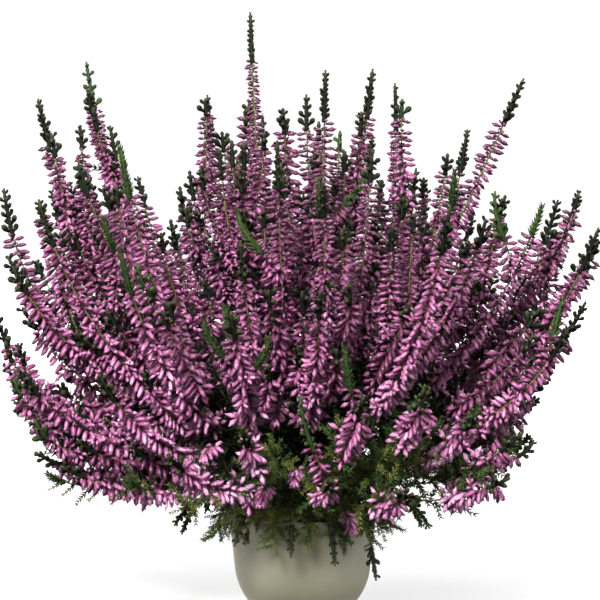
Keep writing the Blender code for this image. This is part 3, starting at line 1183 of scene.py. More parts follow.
@dataclass
class Grower:
    """Clothes stems with bark, leafy twigs, buds and leafy tips. Lengths are millimetres."""

    shapes: SmallShapes
    stem_radius: float = 0.75
    side_radius: float = 0.6
    branch_radius: float = 0.5
    thin_radius: float = 0.3
    bark_clear: float = 0.4
    stem_step: float = 6.0
    scale_step: float = 1.1
    leaf_step: float = 1.15
    bare_foot: float = 10.0
    side_foot: float = 4.0
    bud_start: float = 0.42
    side_bud_start: float = 0.26
    branch_bud_start: float = 0.3
    tip_share: float = 0.11
    tip_lengths: tuple = (15.0, 25.0)
    bud_step: float = 1.62
    bud_turn: float = 1.2
    bud_uneven: float = 0.24
    bud_sizes: tuple = (0.82, 1.12)
    bud_droop: tuple = (0.1, 0.48)
    bud_hang: float = 0.75
    bud_tone_uneven: float = 0.17
    bud_leaf_tones: tuple = (0.1, 0.6)
    # painted shade on high buds: where it starts, over what rise it deepens, and by how much
    shade_height: float = 185.0
    shade_rise: float = 80.0
    shade_by: float = 0.28
    sprig_step: float = 5.5
    sprig_share: float = 0.72
    sprig_lean: tuple = (0.35, 0.9)
    sprig_sizes: tuple = (0.85, 1.15)
    sprig_tone_uneven: float = 0.14
    column_radius: float = 1.35
    column_taper: float = 0.5
    column_wave: tuple = (-0.14, 0.24)
    club_step: float = 2.5
    club_uneven: float = 0.25
    club_spread: tuple = (0.55, 0.95)
    club_sizes: tuple = (0.85, 1.12)
    club_tone_uneven: float = 0.08
    open_share: float = 0.4
    open_step: float = 1.6
    open_size: float = 1.32
    twig_step: float = 3.2
    twig_spread: tuple = (0.7, 1.4)
    twig_rise: tuple = (-0.2, 0.3)
    twig_sizes: tuple = (0.75, 1.25)
    brush_step: float = 3.4
    brush_size: float = 0.75
    yellow_share: float = 0.2
    small_outward: float = 0.3
    fine_outward: float = 0.6
    # the nearly black tone of the brushes inside the plant: painted shade
    inner_shade_tone: float = 0.03
    leaf_uneven: float = 0.15
    late_height: float = 132.0
    tall_height: float = 285.0
    late_side: float = -60.0
    late_share: float = 0.3
    leafy_height: float = 88.0
    lowest_branch: float = 68.0
    branch_starts: tuple = ((0.3, 0.42), (0.38, 0.5), (0.5, 0.64))
    branch_run: tuple = (0.24, 0.34)
    branch_apart: tuple = (7.0, 15.0)
    third_branch: float = 0.6
    branch_tips: tuple = (8.0, 13.0)
    dark_tips: tuple = (9.0, 13.0)
    pot_clear: float = 1.0
    rim_twigs: int = 22
    rim_across: float = 1.7
    rim_out: tuple = (0.1, 0.9)
    rim_rise: tuple = (-0.8, 0.35)
    rim_sizes: tuple = (0.85, 1.3)
    fringe_start: float = 10.0
    fringe_turn: float = math.radians(10.0)
    fringe_drop: float = 9.0
    fringe_step: float = 1.6
    fringe_reach: tuple = (5.0, 8.0)
    fringe_sizes: tuple = (0.6, 0.9)

    def grow_bark(self, stem: Stem, foot: float) -> None:
        """Sets the bark of one stem: a tapering tube.

        Args:
            stem: The stem.
            foot: The radius at its start.
        """
        length = stem.route.length
        places = np.linspace(0.0, length - 1.0, max(4, int(length / self.stem_step)))
        stem.wrap(places, np.linspace(foot, self.thin_radius, len(places)), Part.BARK)

    def grow_buds(self, stem: Stem, start: float, end: float, temper: Temper, small: bool) -> None:
        """Sets pairs of closed buds along a stretch, with a leaf at the foot of every other one.

        They hang more where the stem leans out, and are smaller and darker towards the tip. They are
        set darker still the higher they stand, as painted shade.

        Args:
            stem: The stem.
            start: Where the stretch begins.
            end: Where it ends.
            temper: The spike's own look.
            small: Whether the spike is a slight one inside the plant.
        """
        rng = stem.rng
        buds = self.shapes.small_buds if small else self.shapes.buds
        places = np.arange(start, end, self.bud_step * temper.fullness)
        shares = (places - start) / max(1.0, end - start)
        sizes = temper.fullness * (1.08 - 0.16 * shares**2) * np.minimum(1.0, 0.6 + 5.0 * shares)
        turn, twist = rng.uniform(0.0, math.pi), rng.uniform(-self.bud_turn, self.bud_turn)
        for node, index, point, way, out in stem.pairs(places, turn + twist * shares, self.bud_uneven):
            share, foot = shares[node], point + out * self.bark_clear
            lean = 0.55 * share - 0.14 + rng.normal(0.0, 0.16)
            droop = rng.uniform(*self.bud_droop) + self.bud_hang * (1.0 - max(way[2], 0.0))
            # painted shade: the higher a bud stands, the darker its tone
            dark = self.shade_by * min(max((point[2] - self.shade_height) / self.shade_rise, 0.0), 1.0)
            tone = stem.shade(temper.bud + 0.18 - 0.7 * share**1.6 - dark, self.bud_tone_uneven)
            bud, size = stem.drawn(buds), sizes[node] * rng.uniform(*self.bud_sizes)
            stem.put(bud, foot, unit(out + way * lean - UP * droop), UP, size, tone)
            if index == node % 2:
                tone = rng.uniform(*self.bud_leaf_tones)
                stem.put(self.shapes.leaf, foot, unit(out * 0.7 + way), -out, 1.0, tone)

    def grow_sprigs(self, stem: Stem, start: float, end: float, temper: Temper) -> None:
        """Sets short flowering side shoots along the lower part of a spike.

        Args:
            stem: The stem.
            start: Where the stretch begins.
            end: Where it ends.
            temper: The spike's own look.
        """
        rng = stem.rng
        for place, point, way, out in stem.spiral(np.arange(start, end, self.sprig_step)):
            share = (place - start) / max(1.0, end - start)
            direction = unit(out + way * rng.uniform(*self.sprig_lean))
            sprig = stem.drawn(self.shapes.sprigs)
            size = temper.fullness * (1.1 - 0.3 * share) * rng.uniform(*self.sprig_sizes)
            tone = stem.shade(temper.bud + 0.12 - 0.3 * share, self.sprig_tone_uneven)
            stem.put(sprig, point, direction, UP, size, tone)

    def grow_tip(self, stem: Stem, start: float, temper: Temper) -> None:
        """Clothes a leafy tip: a column of tight scales, with club-shaped shoots or loose leaves.

        Args:
            stem: The stem.
            start: Where the tip begins.
            temper: The spike's own look.
        """
        rng, length = stem.rng, stem.route.length
        places = np.arange(start - 1.0, length - 0.2, self.scale_step)
        share = (places - places[0]) / (places[-1] - places[0])
        wave = np.array(self.column_wave)[np.arange(len(places)) % 2]
        radii = (self.column_radius - self.column_taper * share + wave) * np.where(share > 0.93, 0.6, 1.0)
        stem.wrap(places, radii, Part.LEAF, math.pi / 4.0, temper.tip)
        if temper.feathery:
            self.grow_leaves(stem, start, temper.tip)
            return
        is_open = rng.uniform() < self.open_share
        step, spread = (self.open_step, self.open_size) if is_open else (1.0, 1.0)
        places = np.arange(start + rng.uniform(0.0, 1.5), length - 2.6, step * self.club_step)
        turns = np.full(len(places), rng.uniform(0.0, math.pi))
        for node, _, point, way, out in stem.pairs(places, turns, self.club_uneven):
            share = (places[node] - start) / (length - start)
            direction = out * rng.uniform(*self.club_spread) * spread + way
            size = spread * min(temper.fullness, 1.1) * (1.15 - 0.6 * share) * rng.uniform(*self.club_sizes)
            foot, tone = point + out * self.bark_clear, stem.shade(temper.tip, self.club_tone_uneven)
            stem.put(self.shapes.club, foot, direction, -out, size, tone)

    def grow_leaves(self, stem: Stem, start: float, tone: float) -> None:
        """Sets loose leaves all round the last stretch of a shoot.

        Args:
            stem: The stem.
            start: Where the stretch begins.
            tone: The leaves' tone.
        """
        rng, length = stem.rng, stem.route.length
        places = np.arange(start, length - 0.8, self.leaf_step)
        for node, (point, way, side) in enumerate(stem.frames(places)):
            share = (places[node] - start) / (length - start)
            for index in range(4):
                angle = node * 0.8 + index * math.pi / 2.0 + rng.normal(0.0, self.leaf_uneven)
                out = spoke(way, side, angle)
                size = (1.65 - 0.6 * share) * rng.uniform(0.8, 1.2)
                foot, direction = point + out * self.bark_clear, out * (1.0 - 0.5 * share) + way
                stem.put(self.shapes.leaf, foot, direction, -out, size, stem.shade(tone, 0.12))

    def grow_twigs(
        self, stem: Stem, stretch: tuple[float, float, float], size: float, tone: float, fine: bool
    ) -> None:
        """Sets short leafy twigs along a stretch.

        Args:
            stem: The stem.
            stretch: Where the stretch begins, where it ends and the step from one to the next.
            size: The twigs' size over their modelled one.
            tone: The leaves' tone.
            fine: Whether the twigs have many small leaves, or a few large ones.
        """
        rng = stem.rng
        for _, point, way, out in stem.spiral(np.arange(*stretch)):
            direction = out * rng.uniform(*self.twig_spread) + way * 0.8
            direction = unit(direction + UP * rng.uniform(*self.twig_rise))
            patterns = self.shapes.twigs if fine else self.shapes.brushes
            self.put_twig(stem, patterns, point, direction, -out, size * rng.uniform(*self.twig_sizes), tone)

    def put_twig(
        self,
        stem: Stem,
        patterns: list[Pattern],
        foot: np.ndarray,
        way: np.ndarray,
        side: np.ndarray,
        size: float,
        tone: float,
    ) -> None:
        """Sets one leafy twig, unless it would reach into the pot, the soil or the floor.

        Args:
            stem: The stem.
            patterns: The twigs that it is drawn from.
            foot: Where it stands.
            way: The direction that it grows in.
            side: The direction that its +X side faces.
            size: Its size over the modelled one.
            tone: The leaves' tone.
        """
        reach = foot + way * self.shapes.twig_length * size
        if self.is_clear(reach) and self.is_clear(0.5 * (foot + reach)):
            stem.put(stem.drawn(patterns), foot, way, side, size, stem.shade(tone, self.leaf_uneven))

    def is_clear(self, point: np.ndarray) -> bool:
        """Whether a point is clear of the pot, the soil and the floor."""
        radius = math.hypot(point[0], point[1])
        if radius >= Pot.rim_radius + self.pot_clear:
            return point[2] > self.pot_clear
        inside = radius < Pot.rim_radius - 5.0 and point[2] > Habit.soil_top + 2.0
        return inside or point[2] > Pot.height + self.pot_clear

    def is_late(self, route: Route) -> bool:
        """Whether a spike is one of the low ones, which are green for most of their length."""
        return bool(route.end[2] < self.late_height and route.end[0] > self.late_side)

    def grow_spike(self, stem: Stem, forked: bool) -> None:
        """Clothes one spike from its foot to its tip, and its branches.

        Args:
            stem: The spike's stem.
            forked: Whether it forks off another stem.
        """
        rng, route = stem.rng, stem.route
        length, outward = route.length, route.outward
        temper = Temper.drawn(rng, self.yellow_share, outward)
        # painted shade: the tallest spikes get darker buds
        if route.end[2] > self.tall_height:
            temper = replace(temper, bud=temper.bud - 0.2, fullness=0.85 * temper.fullness)
        tip = length - min(max(self.tip_share * length, self.tip_lengths[0]), self.tip_lengths[1])
        late, fine = self.is_late(route), outward > self.fine_outward
        buds = (self.side_bud_start if forked else self.bud_start) + (self.late_share if late else 0.0)
        buds = buds * length
        leaves = self.side_foot if forked else self.bare_foot + Habit.hole_depth
        self.grow_bark(stem, self.side_radius if forked else self.stem_radius)
        # painted shade: a spike that stands inside gets brushes at a third of its leaf tone, and every spike
        # gets nearly black brushes further up, inside
        if fine:
            self.grow_twigs(stem, (leaves, buds + 6.0, self.twig_step), 1.05, temper.leaf, True)
        else:
            self.grow_twigs(stem, (leaves, buds + 6.0, self.brush_step), 1.2, 0.35 * temper.leaf, False)
        inner = (buds, 0.6 * length, 2.0 * self.brush_step)
        self.grow_twigs(stem, inner, self.brush_size, self.inner_shade_tone, False)
        self.grow_buds(stem, buds, tip, temper, outward < self.small_outward)
        self.grow_sprigs(stem, buds, buds + self.sprig_share * (tip - buds), temper)
        self.grow_tip(stem, tip, temper)
        for number, branch in enumerate(self.branches(stem)):
            if late or branch.route.end[2] < self.leafy_height:
                self.grow_leafy_branch(branch)
            elif number:
                self.grow_dark_branch(branch)
            else:
                self.grow_branch(branch)

    def branches(self, stem: Stem) -> list[Stem]:
        """Draws a spike's two or three slight branches.

        Args:
            stem: The spike's stem.

        Returns:
            Those that end clear of the pot and high enough.
        """
        rng, route = stem.rng, stem.route
        made = []
        shares = [rng.uniform(*ends) for ends in self.branch_starts]
        for share in shares[: 2 + int(rng.uniform() < self.third_branch)]:
            start, way = route.at(share * route.length)
            beside, onward = route.at((share + rng.uniform(*self.branch_run)) * route.length)
            out = spoke(way, unit(np.cross(way, UP + 0.2)), rng.uniform(0.0, math.tau))
            if out[:2] @ beside[:2] > 0.35 * math.hypot(beside[0], beside[1]):
                out = -out
            tip = beside + out * rng.uniform(*self.branch_apart)
            if self.is_clear(tip) and tip[2] > self.lowest_branch:
                made.append(stem.branch(self.fork(start, way, tip, onward, out)))
        return made

    @staticmethod
    def fork(
        start: np.ndarray, way: np.ndarray, tip: np.ndarray, onward: np.ndarray, out: np.ndarray
    ) -> Route:
        """The route of a shoot that leaves a stem and turns along with it.

        Args:
            start: Where it leaves the stem.
            way: The stem's direction there.
            tip: Where the shoot ends.
            onward: The direction that it ends in.
            out: The side that it leaves on.

        Returns:
            The route.
        """
        span = float(np.linalg.norm(tip - start))
        second = start + unit(way + out * 0.9) * (0.36 * span)
        third = tip - unit(onward + UP * 0.3) * (0.42 * span)
        return Route(Habit.curve((start, second, third, tip)))

    def grow_branch(self, stem: Stem) -> None:
        """Clothes one slight branch, given by its stem."""
        length = stem.route.length
        # a lower outward reading than the stem's own, so darker buds: painted shade
        temper = Temper.drawn(stem.rng, self.yellow_share, 0.75 * stem.route.outward - 0.15)
        tip = length - stem.rng.uniform(*self.branch_tips)
        buds = self.branch_bud_start * length
        self.grow_bark(stem, self.branch_radius)
        self.grow_twigs(stem, (2.0, 0.55 * tip, self.brush_step), self.brush_size, self.inner_shade_tone, False)
        self.grow_buds(stem, buds, tip, temper, True)
        self.grow_sprigs(stem, buds, buds + 0.5 * (tip - buds), temper)
        self.grow_tip(stem, tip, temper)

    def grow_dark_branch(self, stem: Stem) -> None:
        """Clothes one branch inside the plant, given by its stem, with dark maroon buds and nearly black
        leaves, painted shade for the depth inside the plant.
        """
        rng, length = stem.rng, stem.route.length
        # painted shade: low tones for buds, leaves and tip
        temper = Temper(rng.uniform(-0.05, 0.22), 0.05, rng.uniform(0.02, 0.25), False, rng.uniform(1.1, 1.3))
        tip = length - rng.uniform(*self.dark_tips)
        self.grow_bark(stem, self.thin_radius)
        self.grow_twigs(stem, (2.0, 0.4 * tip, 4.6), self.brush_size, self.inner_shade_tone, False)
        self.grow_buds(stem, 0.25 * length, tip, temper, True)
        self.grow_tip(stem, tip, temper)

    def grow_leafy_branch(self, stem: Stem) -> None:
        """Clothes one low branch, given by its stem, which bears leaves alone."""
        # a light leaf tone: partly the low shoots' own fresh green, partly painted light that lifts them out
        # of the shade under the canopy
        end, tone = stem.route.length, stem.rng.uniform(0.55, 0.95)
        self.grow_bark(stem, self.branch_radius)
        self.grow_twigs(stem, (3.0, end - 6.0, 2.7), 0.95, tone, True)
        self.grow_tip(stem, end - 10.0, Temper(0.6, tone, tone, True, 1.0))

    def grow_shoot(self, stem: Stem) -> None:
        """Clothes one leafy shoot over the rim, given by its stem."""
        rng, end = stem.rng, stem.route.length
        # a light leaf tone: partly the rim shoots' own fresh green, partly painted light that lifts them out
        # of the shade under the canopy
        tone = rng.uniform(0.6, 0.9)
        self.grow_bark(stem, self.branch_radius)
        places = 12.0 + (end - 28.0) * np.linspace(0.0, 1.0, self.rim_twigs) ** 1.5
        for node, (point, _, _) in enumerate(stem.frames(places)):
            radial = unit(point * LEVEL)
            direction = np.cross(UP, radial) * rng.uniform(-self.rim_across, self.rim_across)
            direction = direction + radial * rng.uniform(*self.rim_out)
            direction = unit(direction + UP * rng.uniform(*self.rim_rise))
            size = rng.uniform(*self.rim_sizes) * (1.0 - 0.5 * node / self.rim_twigs)
            self.put_twig(stem, self.shapes.twigs, point, direction, -UP, size, tone)
        self.grow_tip(stem, end - 16.0, Temper(0.6, tone, 0.3 * tone, False, 0.8))
        for side in (-1.0, 1.0):
            self.grow_fringe(stem, side, tone)

    def grow_fringe(self, stem: Stem, side: float, tone: float) -> None:
        """Sets a short leafy side shoot that hides the rim beside a shoot.

        Args:
            stem: The shoot's stem.
            side: Which side of the shoot it leaves on, 1 or -1.
            tone: The leaves' tone.
        """
        rng = stem.rng
        start, _ = stem.route.at(self.fringe_start)
        radial = level(math.atan2(start[1], start[0]) + side * self.fringe_turn * rng.uniform(0.8, 1.2))
        tip = radial * (Pot.rim_radius + rng.uniform(*self.fringe_reach))
        tip = tip + UP * (Pot.height - self.fringe_drop * rng.uniform(0.3, 1.3))
        over = radial * (Pot.rim_radius + 1.0) + UP * (Pot.height + 5.0)
        fringe = stem.branch(Route(Habit.curve((start, 0.5 * (start + over) + UP * 3.0, over, tip))))
        self.grow_bark(fringe, self.thin_radius)
        for point, _, cross in fringe.frames(np.arange(4.0, fringe.route.length, self.fringe_step)):
            out = radial * rng.uniform(0.2, 0.8) + cross * rng.uniform(-1.0, 1.0)
            out = unit(out - UP * rng.uniform(0.0, 0.9))
            twig, size = stem.drawn(self.shapes.twigs), rng.uniform(*self.fringe_sizes)
            if self.is_clear(point + out * self.shapes.twig_length * size):
                stem.put(twig, point, out, -UP, size, stem.shade(tone, self.leaf_uneven))

    def grow_extra(self, stem: Stem, kind: Extra) -> None:
        """Clothes one slight side shoot that stands in front of the spikes.

        Args:
            stem: The shoot's stem.
            kind: What it bears.
        """
        rng, end = stem.rng, stem.route.length
        if kind is Extra.SPIKE:
            self.grow_branch(stem)
            return
        self.grow_bark(stem, self.thin_radius)
        if kind is Extra.FEATHER:
            tone = rng.uniform(0.38, 0.66)
            self.grow_buds(stem, 0.1 * end, 0.5 * end, Temper(0.3, tone, tone, False, 1.0), True)
            self.grow_tip(stem, 0.45 * end, Temper(0.3, tone, tone, rng.uniform() < 0.25, 1.0))
            return
        self.grow_twigs(stem, (0.15 * end, 0.7 * end, 2.2), 0.8, 0.5, True)
        temper = Temper(rng.uniform(0.55, 0.72), 0.5, 0.5, False, 0.95)
        self.grow_buds(stem, end - rng.uniform(12.0, 17.0), end, temper, False)
        tip, way = stem.route.at(end)
        side = unit(np.cross(way, UP + 0.1))
        for index, bud in enumerate(self.shapes.buds):
            stem.put(bud, tip - way * 0.5, unit(way + side * (index - 1) * 0.5), UP, 0.85, temper.bud)


@dataclass
class Plant:
    """The whole plant: every flowering spray and every leafy shoot over the rim.

    The slight side shoots end at the places of the tables: across, depth and height in millimetres.
    """

    habit: Habit
    grower: Grower
    finishes: dict[Part, bpy.types.Material]
    extra_length: float = 38.0
    spike_length: float = 78.0
    twin_reach: float = 60.0
    spikes: tuple = (
        (-35, -20, 237), (-50, -30, 224), (-129, -30, 208), (-110, -20, 224), (-93, -40, 211),
        (71, -30, 231), (97, -40, 209), (126, -10, 192), (54, -50, 201), (-9, -40, 220),
        (21, -20, 231), (61, 10, 218), (-138, -50, 139), (-68, -60, 193), (43, -70, 197),
        (-19, -60, 204), (5, -40, 209), (49, -20, 257), (29, -20, 251), (8, -20, 246),
        (-29, -20, 235), (-19, -20, 241), (-103, -20, 253), (-145, -40, 139), (-140, -50, 122),
        (-130, -50, 102), (136, -20, 211), (143, -40, 188), (114, -30, 90), (-119, -30, 192),
        (-106, -15, 262), (-110, -15, 244), (-124, -15, 240),
    )
    stars: tuple = (
        (-13, -80, 105), (-4, -74, 75), (-20, -66, 64), (24, -58, 50), (-58, -92, 80),
        (60, -92, 106), (95, -60, 67), (-46, -90, 89),
    )
    feathers: tuple = (
        (-95, -60, 200), (-31, -70, 204), (12, -95, 182), (-36, -105, 161), (-46, -110, 155),
        (74, -40, 223), (93, -50, 213), (126, -50, 162), (57, -105, 125), (83, -100, 116),
        (-78, -90, 180), (32, -30, 225), (8, -60, 219), (-16, -115, 148), (20, -118, 143),
        (-1, -110, 119),
    )

    def build(self) -> list[bpy.types.Object]:
        """Grows every piece.

        Returns:
            The pieces.
        """
        sprays = self.habit.sprays()
        made = []
        for count, (routes, extras) in enumerate(zip(sprays, self.extras(sprays)), start=1):
            node = f"spray_{count:02d}"
            self.compare(node, routes)
            piece = PlantPiece(node, "flowering_spray")
            rng = np.random.default_rng(SEED + count)
            for number, route in enumerate(routes):
                self.grower.grow_spike(Stem(piece, route, rng), number > 0)
            for kind, route in extras:
                self.grower.grow_extra(Stem(piece, route, rng), kind)
            made.append(piece.build(self.finishes))
        for count, route in enumerate(self.habit.shoots(), start=1):
            piece = PlantPiece(f"shoot_{count:02d}", "leafy_shoot")
            self.grower.grow_shoot(Stem(piece, route, np.random.default_rng(SEED + SHOOT_SEED + count)))
            made.append(piece.build(self.finishes))
        return made

    def extras(self, sprays: list[list[Route]]) -> list[list[tuple[Extra, Route]]]:
        """Gives each slight side shoot to the spray whose stem passes nearest to its foot.

        The front ones stand where the photograph shows them, and those near the middle have a twin on the
        back, turned half round.

        Args:
            sprays: Every spray's routes.

        Returns:
            For each spray, its side shoots.
        """
        given = [[] for _ in sprays]
        stems = [np.vstack([route.points for route in routes]) for routes in sprays]
        for kind, table in zip(Extra, (self.spikes, self.stars, self.feathers)):
            for across, depth, height in table:
                for turn in (1.0, -1.0) if abs(across) < self.twin_reach else (1.0,):
                    tip = np.array((across * turn, depth * turn, height), float)
                    heading = unit(tip - UP * self.habit.soil_top)
                    rise, onward = unit(heading * 0.5 + UP * 0.7), unit(heading * 0.6 + UP)
                    if kind is Extra.STAR:
                        rise, onward = heading, unit(heading * 0.4 - UP * 0.9)
                    foot = tip - rise * (self.spike_length if kind is Extra.SPIKE else self.extra_length)
                    gaps = [np.linalg.norm(points - foot, axis=1) for points in stems]
                    spray = min(range(len(gaps)), key=lambda index: float(gaps[index].min()))
                    start = stems[spray][int(gaps[spray].argmin())]
                    given[spray].append((kind, Grower.fork(start, rise, tip, onward, heading * 0.2)))
        return given

    @staticmethod
    def compare(node: str, routes: list[Route]) -> None:
        """Warns where a spray's tip isn't inside its own solid's box.

        Args:
            node: The solid's name.
            routes: The spray's routes.
        """
        low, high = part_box(node)
        for route in routes:
            tip = route.end * MM
            if any(tip[axis] < low[axis] - MM or tip[axis] > high[axis] + MM for axis in range(3)):
                LOG.warning("%s: the tip at %s lies outside its solid", node, np.round(tip, 4))


@dataclass
class Pot:
    """The small turned pot, smooth all round."""

    height = 49.0
    rim_radius = 37.9
    rim_band: float = 4.0
    rim_proud: float = 0.8
    rim_edge: float = 0.5
    shoulder_height: float = 21.0
    shoulder_radius: float = 34.0
    foot_radius: float = 22.7
    foot_edge: float = 0.6
    wall: float = 2.0
    floor: float = 2.6
    arc_steps: int = 10
    turns: int = 112

    def side_radius(self, height: float) -> float:
        """The radius of the straight taper at a height."""
        share = (height - self.shoulder_height) / (self.height - self.shoulder_height)
        return self.shoulder_radius + (self.rim_radius - self.rim_proud - self.shoulder_radius) * share

    def wall_section(self, inset: float, bottom: float, top: float) -> list[tuple[float, float]]:
        """The side moved in by inset: an arc up to the shoulder, then the taper.

        Args:
            inset: How far inside the outer face.
            bottom: The height that it starts at.
            top: The height that it ends at.

        Returns:
            Points of radius and height.
        """
        lean = self.side_radius(self.height) - self.shoulder_radius
        taper = math.atan2(lean, self.height - self.shoulder_height)
        across, up = math.cos(taper), -math.sin(taper)
        run, rise = self.shoulder_radius - self.foot_radius, self.shoulder_height
        radius = (run * run + rise * rise) / (2.0 * (run * across + rise * up))
        middle, centre = self.shoulder_radius - radius * across, self.shoulder_height - radius * up
        size = radius - inset
        start = math.asin((bottom - centre) / size)
        points = []
        for step in range(self.arc_steps + 1):
            turn = start + (-taper - start) * step / self.arc_steps
            points.append((middle + size * math.cos(turn), centre + size * math.sin(turn)))
        points.append((self.side_radius(top) - inset / across, top))
        return points

    def profile(self) -> list[tuple[float, float]]:
        """The whole section from the middle of the underside to the middle of the floor inside."""
        outside = self.wall_section(0.0, 0.0, self.height - self.rim_band)
        foot = [(self.foot_radius - self.foot_edge, 0.0)]
        band = [
            (self.rim_radius - 0.2, self.height - self.rim_band + 0.15),
            (self.rim_radius, self.height - self.rim_band + self.rim_edge),
            (self.rim_radius, self.height - self.rim_edge),
            (self.rim_radius - 0.15, self.height - 0.15),
            (self.rim_radius - self.rim_edge, self.height),
        ]
        inside = self.wall_section(self.wall, self.floor, self.height)[::-1]
        lip = [(inside[0][0] + 0.3, self.height)]
        inside[0] = (inside[0][0], self.height - 0.3)
        return [(0.0, 0.0), *foot, *outside, *band, *lip, *inside, (0.0, self.floor)]

    def build(self, finish: bpy.types.Material) -> bpy.types.Object:
        """Turns the pot and sets it on the frame.

        Args:
            finish: The pot's material.

        Returns:
            The piece.
        """
        piece = turned("pot_smooth", self.profile(), self.turns)
        piece.data.materials.append(finish)
        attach(piece, "root")
        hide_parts("pot")
        LOG.info("pot: %d faces", len(piece.data.polygons))
        return piece


def turned(name: str, profile: list[tuple[float, float]], turns: int) -> bpy.types.Object:
    """Spins a profile round the pot's axis.

    Args:
        name: The new piece's name.
        profile: Points of radius and height in millimetres, which start and end on the axis.
        turns: The number of steps round.

    Returns:
        The closed piece, in metres, at the origin.
    """
    mesh = bpy.data.meshes.new(name)
    points = [(radius * MM, 0.0, height * MM) for radius, height in profile]
    mesh.from_pydata(points, [(index - 1, index) for index in range(1, len(points))], [])
    piece = bpy.data.objects.new(name, mesh)
    bpy.context.scene.collection.objects.link(piece)
    clear_selection()
    bpy.context.view_layer.objects.active = piece
    piece.select_set(True)
    bpy.ops.object.mode_set(mode="EDIT")
    bpy.ops.mesh.select_all(action="SELECT")
    bpy.ops.mesh.spin(steps=turns, angle=math.tau, center=(0.0, 0.0, 0.0), axis=(0.0, 0.0, 1.0))
    bpy.ops.mesh.select_all(action="SELECT")
    bpy.ops.mesh.remove_doubles(threshold=1e-6)
    bpy.ops.mesh.normals_make_consistent(inside=False)
    bpy.ops.object.mode_set(mode="OBJECT")
    bpy.ops.object.shade_smooth_by_angle(angle=math.radians(40.0))
    return piece


@dataclass
class Peat:
    """The root ball: a domed body with a crumbly top."""

    pot: Pot
    top: float = 44.0
    dome: float = 1.0
    gap: float = 0.3
    rings: int = 8
    turns: int = 48
    crumb_depth: float = 0.9
    crumbs: int = 180

    def profile(self) -> list[tuple[float, float]]:
        """The section from the middle of the underside to the middle of the top."""
        side = self.pot.wall_section(self.pot.wall + self.gap, self.pot.floor + self.gap, self.top)
        edge = side[-1][0]
        top = []
        for ring in range(1, self.rings):
            share = ring / self.rings
            top.append((edge * (1.0 - share), self.top + self.dome * share))
        return [(0.0, self.pot.floor + self.gap), *side, *top, (0.0, self.top + self.dome)]

    def build(self, finish: bpy.types.Material) -> bpy.types.Object:
        """Turns the root ball, roughens its top and strews crumbs on it.

        Args:
            finish: The peat's material.

        Returns:
            The piece.
        """
        piece = turned("peat_crumbly", self.profile(), self.turns)
        rng = np.random.default_rng(SEED + PEAT_SEED)
        for vertex in piece.data.vertices:
            if vertex.co.z > (self.top - 0.5) * MM:
                level = math.hypot(vertex.co.x, vertex.co.y) / MM
                fade = min(1.0, max(0.0, (self.pot.side_radius(self.top) - 3.0 - level) / 3.0))
                vertex.co.z += rng.uniform(-0.8, 0.5) * self.crumb_depth * fade * MM
        self.strew(piece, rng)
        piece.data.materials.clear()
        piece.data.materials.append(finish)
        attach(piece, "root")
        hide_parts("soil")
        LOG.info("peat: %d faces", len(piece.data.polygons))
        return piece

    def strew(self, piece: bpy.types.Object, rng: np.random.Generator) -> None:
        """Joins crumbs on to the top.

        Args:
            piece: The root ball.
            rng: The source of their places and sizes.
        """
        clear_selection()
        bpy.ops.mesh.primitive_ico_sphere_add(subdivisions=1, radius=MM)
        crumb = bpy.context.object
        base = np.array([tuple(vertex.co) for vertex in crumb.data.vertices])
        faces = [tuple(polygon.vertices) for polygon in crumb.data.polygons]
        bpy.data.objects.remove(crumb, do_unlink=True)
        points, polygons = [], []
        edge = self.pot.side_radius(self.top) - 4.5
        for index in range(self.crumbs):
            radius, turn = edge * math.sqrt(rng.uniform()), rng.uniform(0.0, math.tau)
            lift = self.top + self.dome * (1.0 - radius / edge)
            place = np.array((radius * math.cos(turn), radius * math.sin(turn), lift)) * MM
            shape = base * rng.uniform(0.5, 1.5, 3) * rng.uniform(0.8, 1.2, (len(base), 1))
            points.append(shape + place)
            polygons += [tuple(corner + index * len(base) for corner in face) for face in faces]
        mesh = bpy.data.meshes.new("crumbs")
        mesh.from_pydata(np.concatenate(points).tolist(), [], polygons)
        strewn = bpy.data.objects.new("crumbs", mesh)
        bpy.context.scene.collection.objects.link(strewn)
        clear_selection()
        strewn.select_set(True)
        piece.select_set(True)
        bpy.context.view_layer.objects.active = piece
        bpy.ops.object.join()


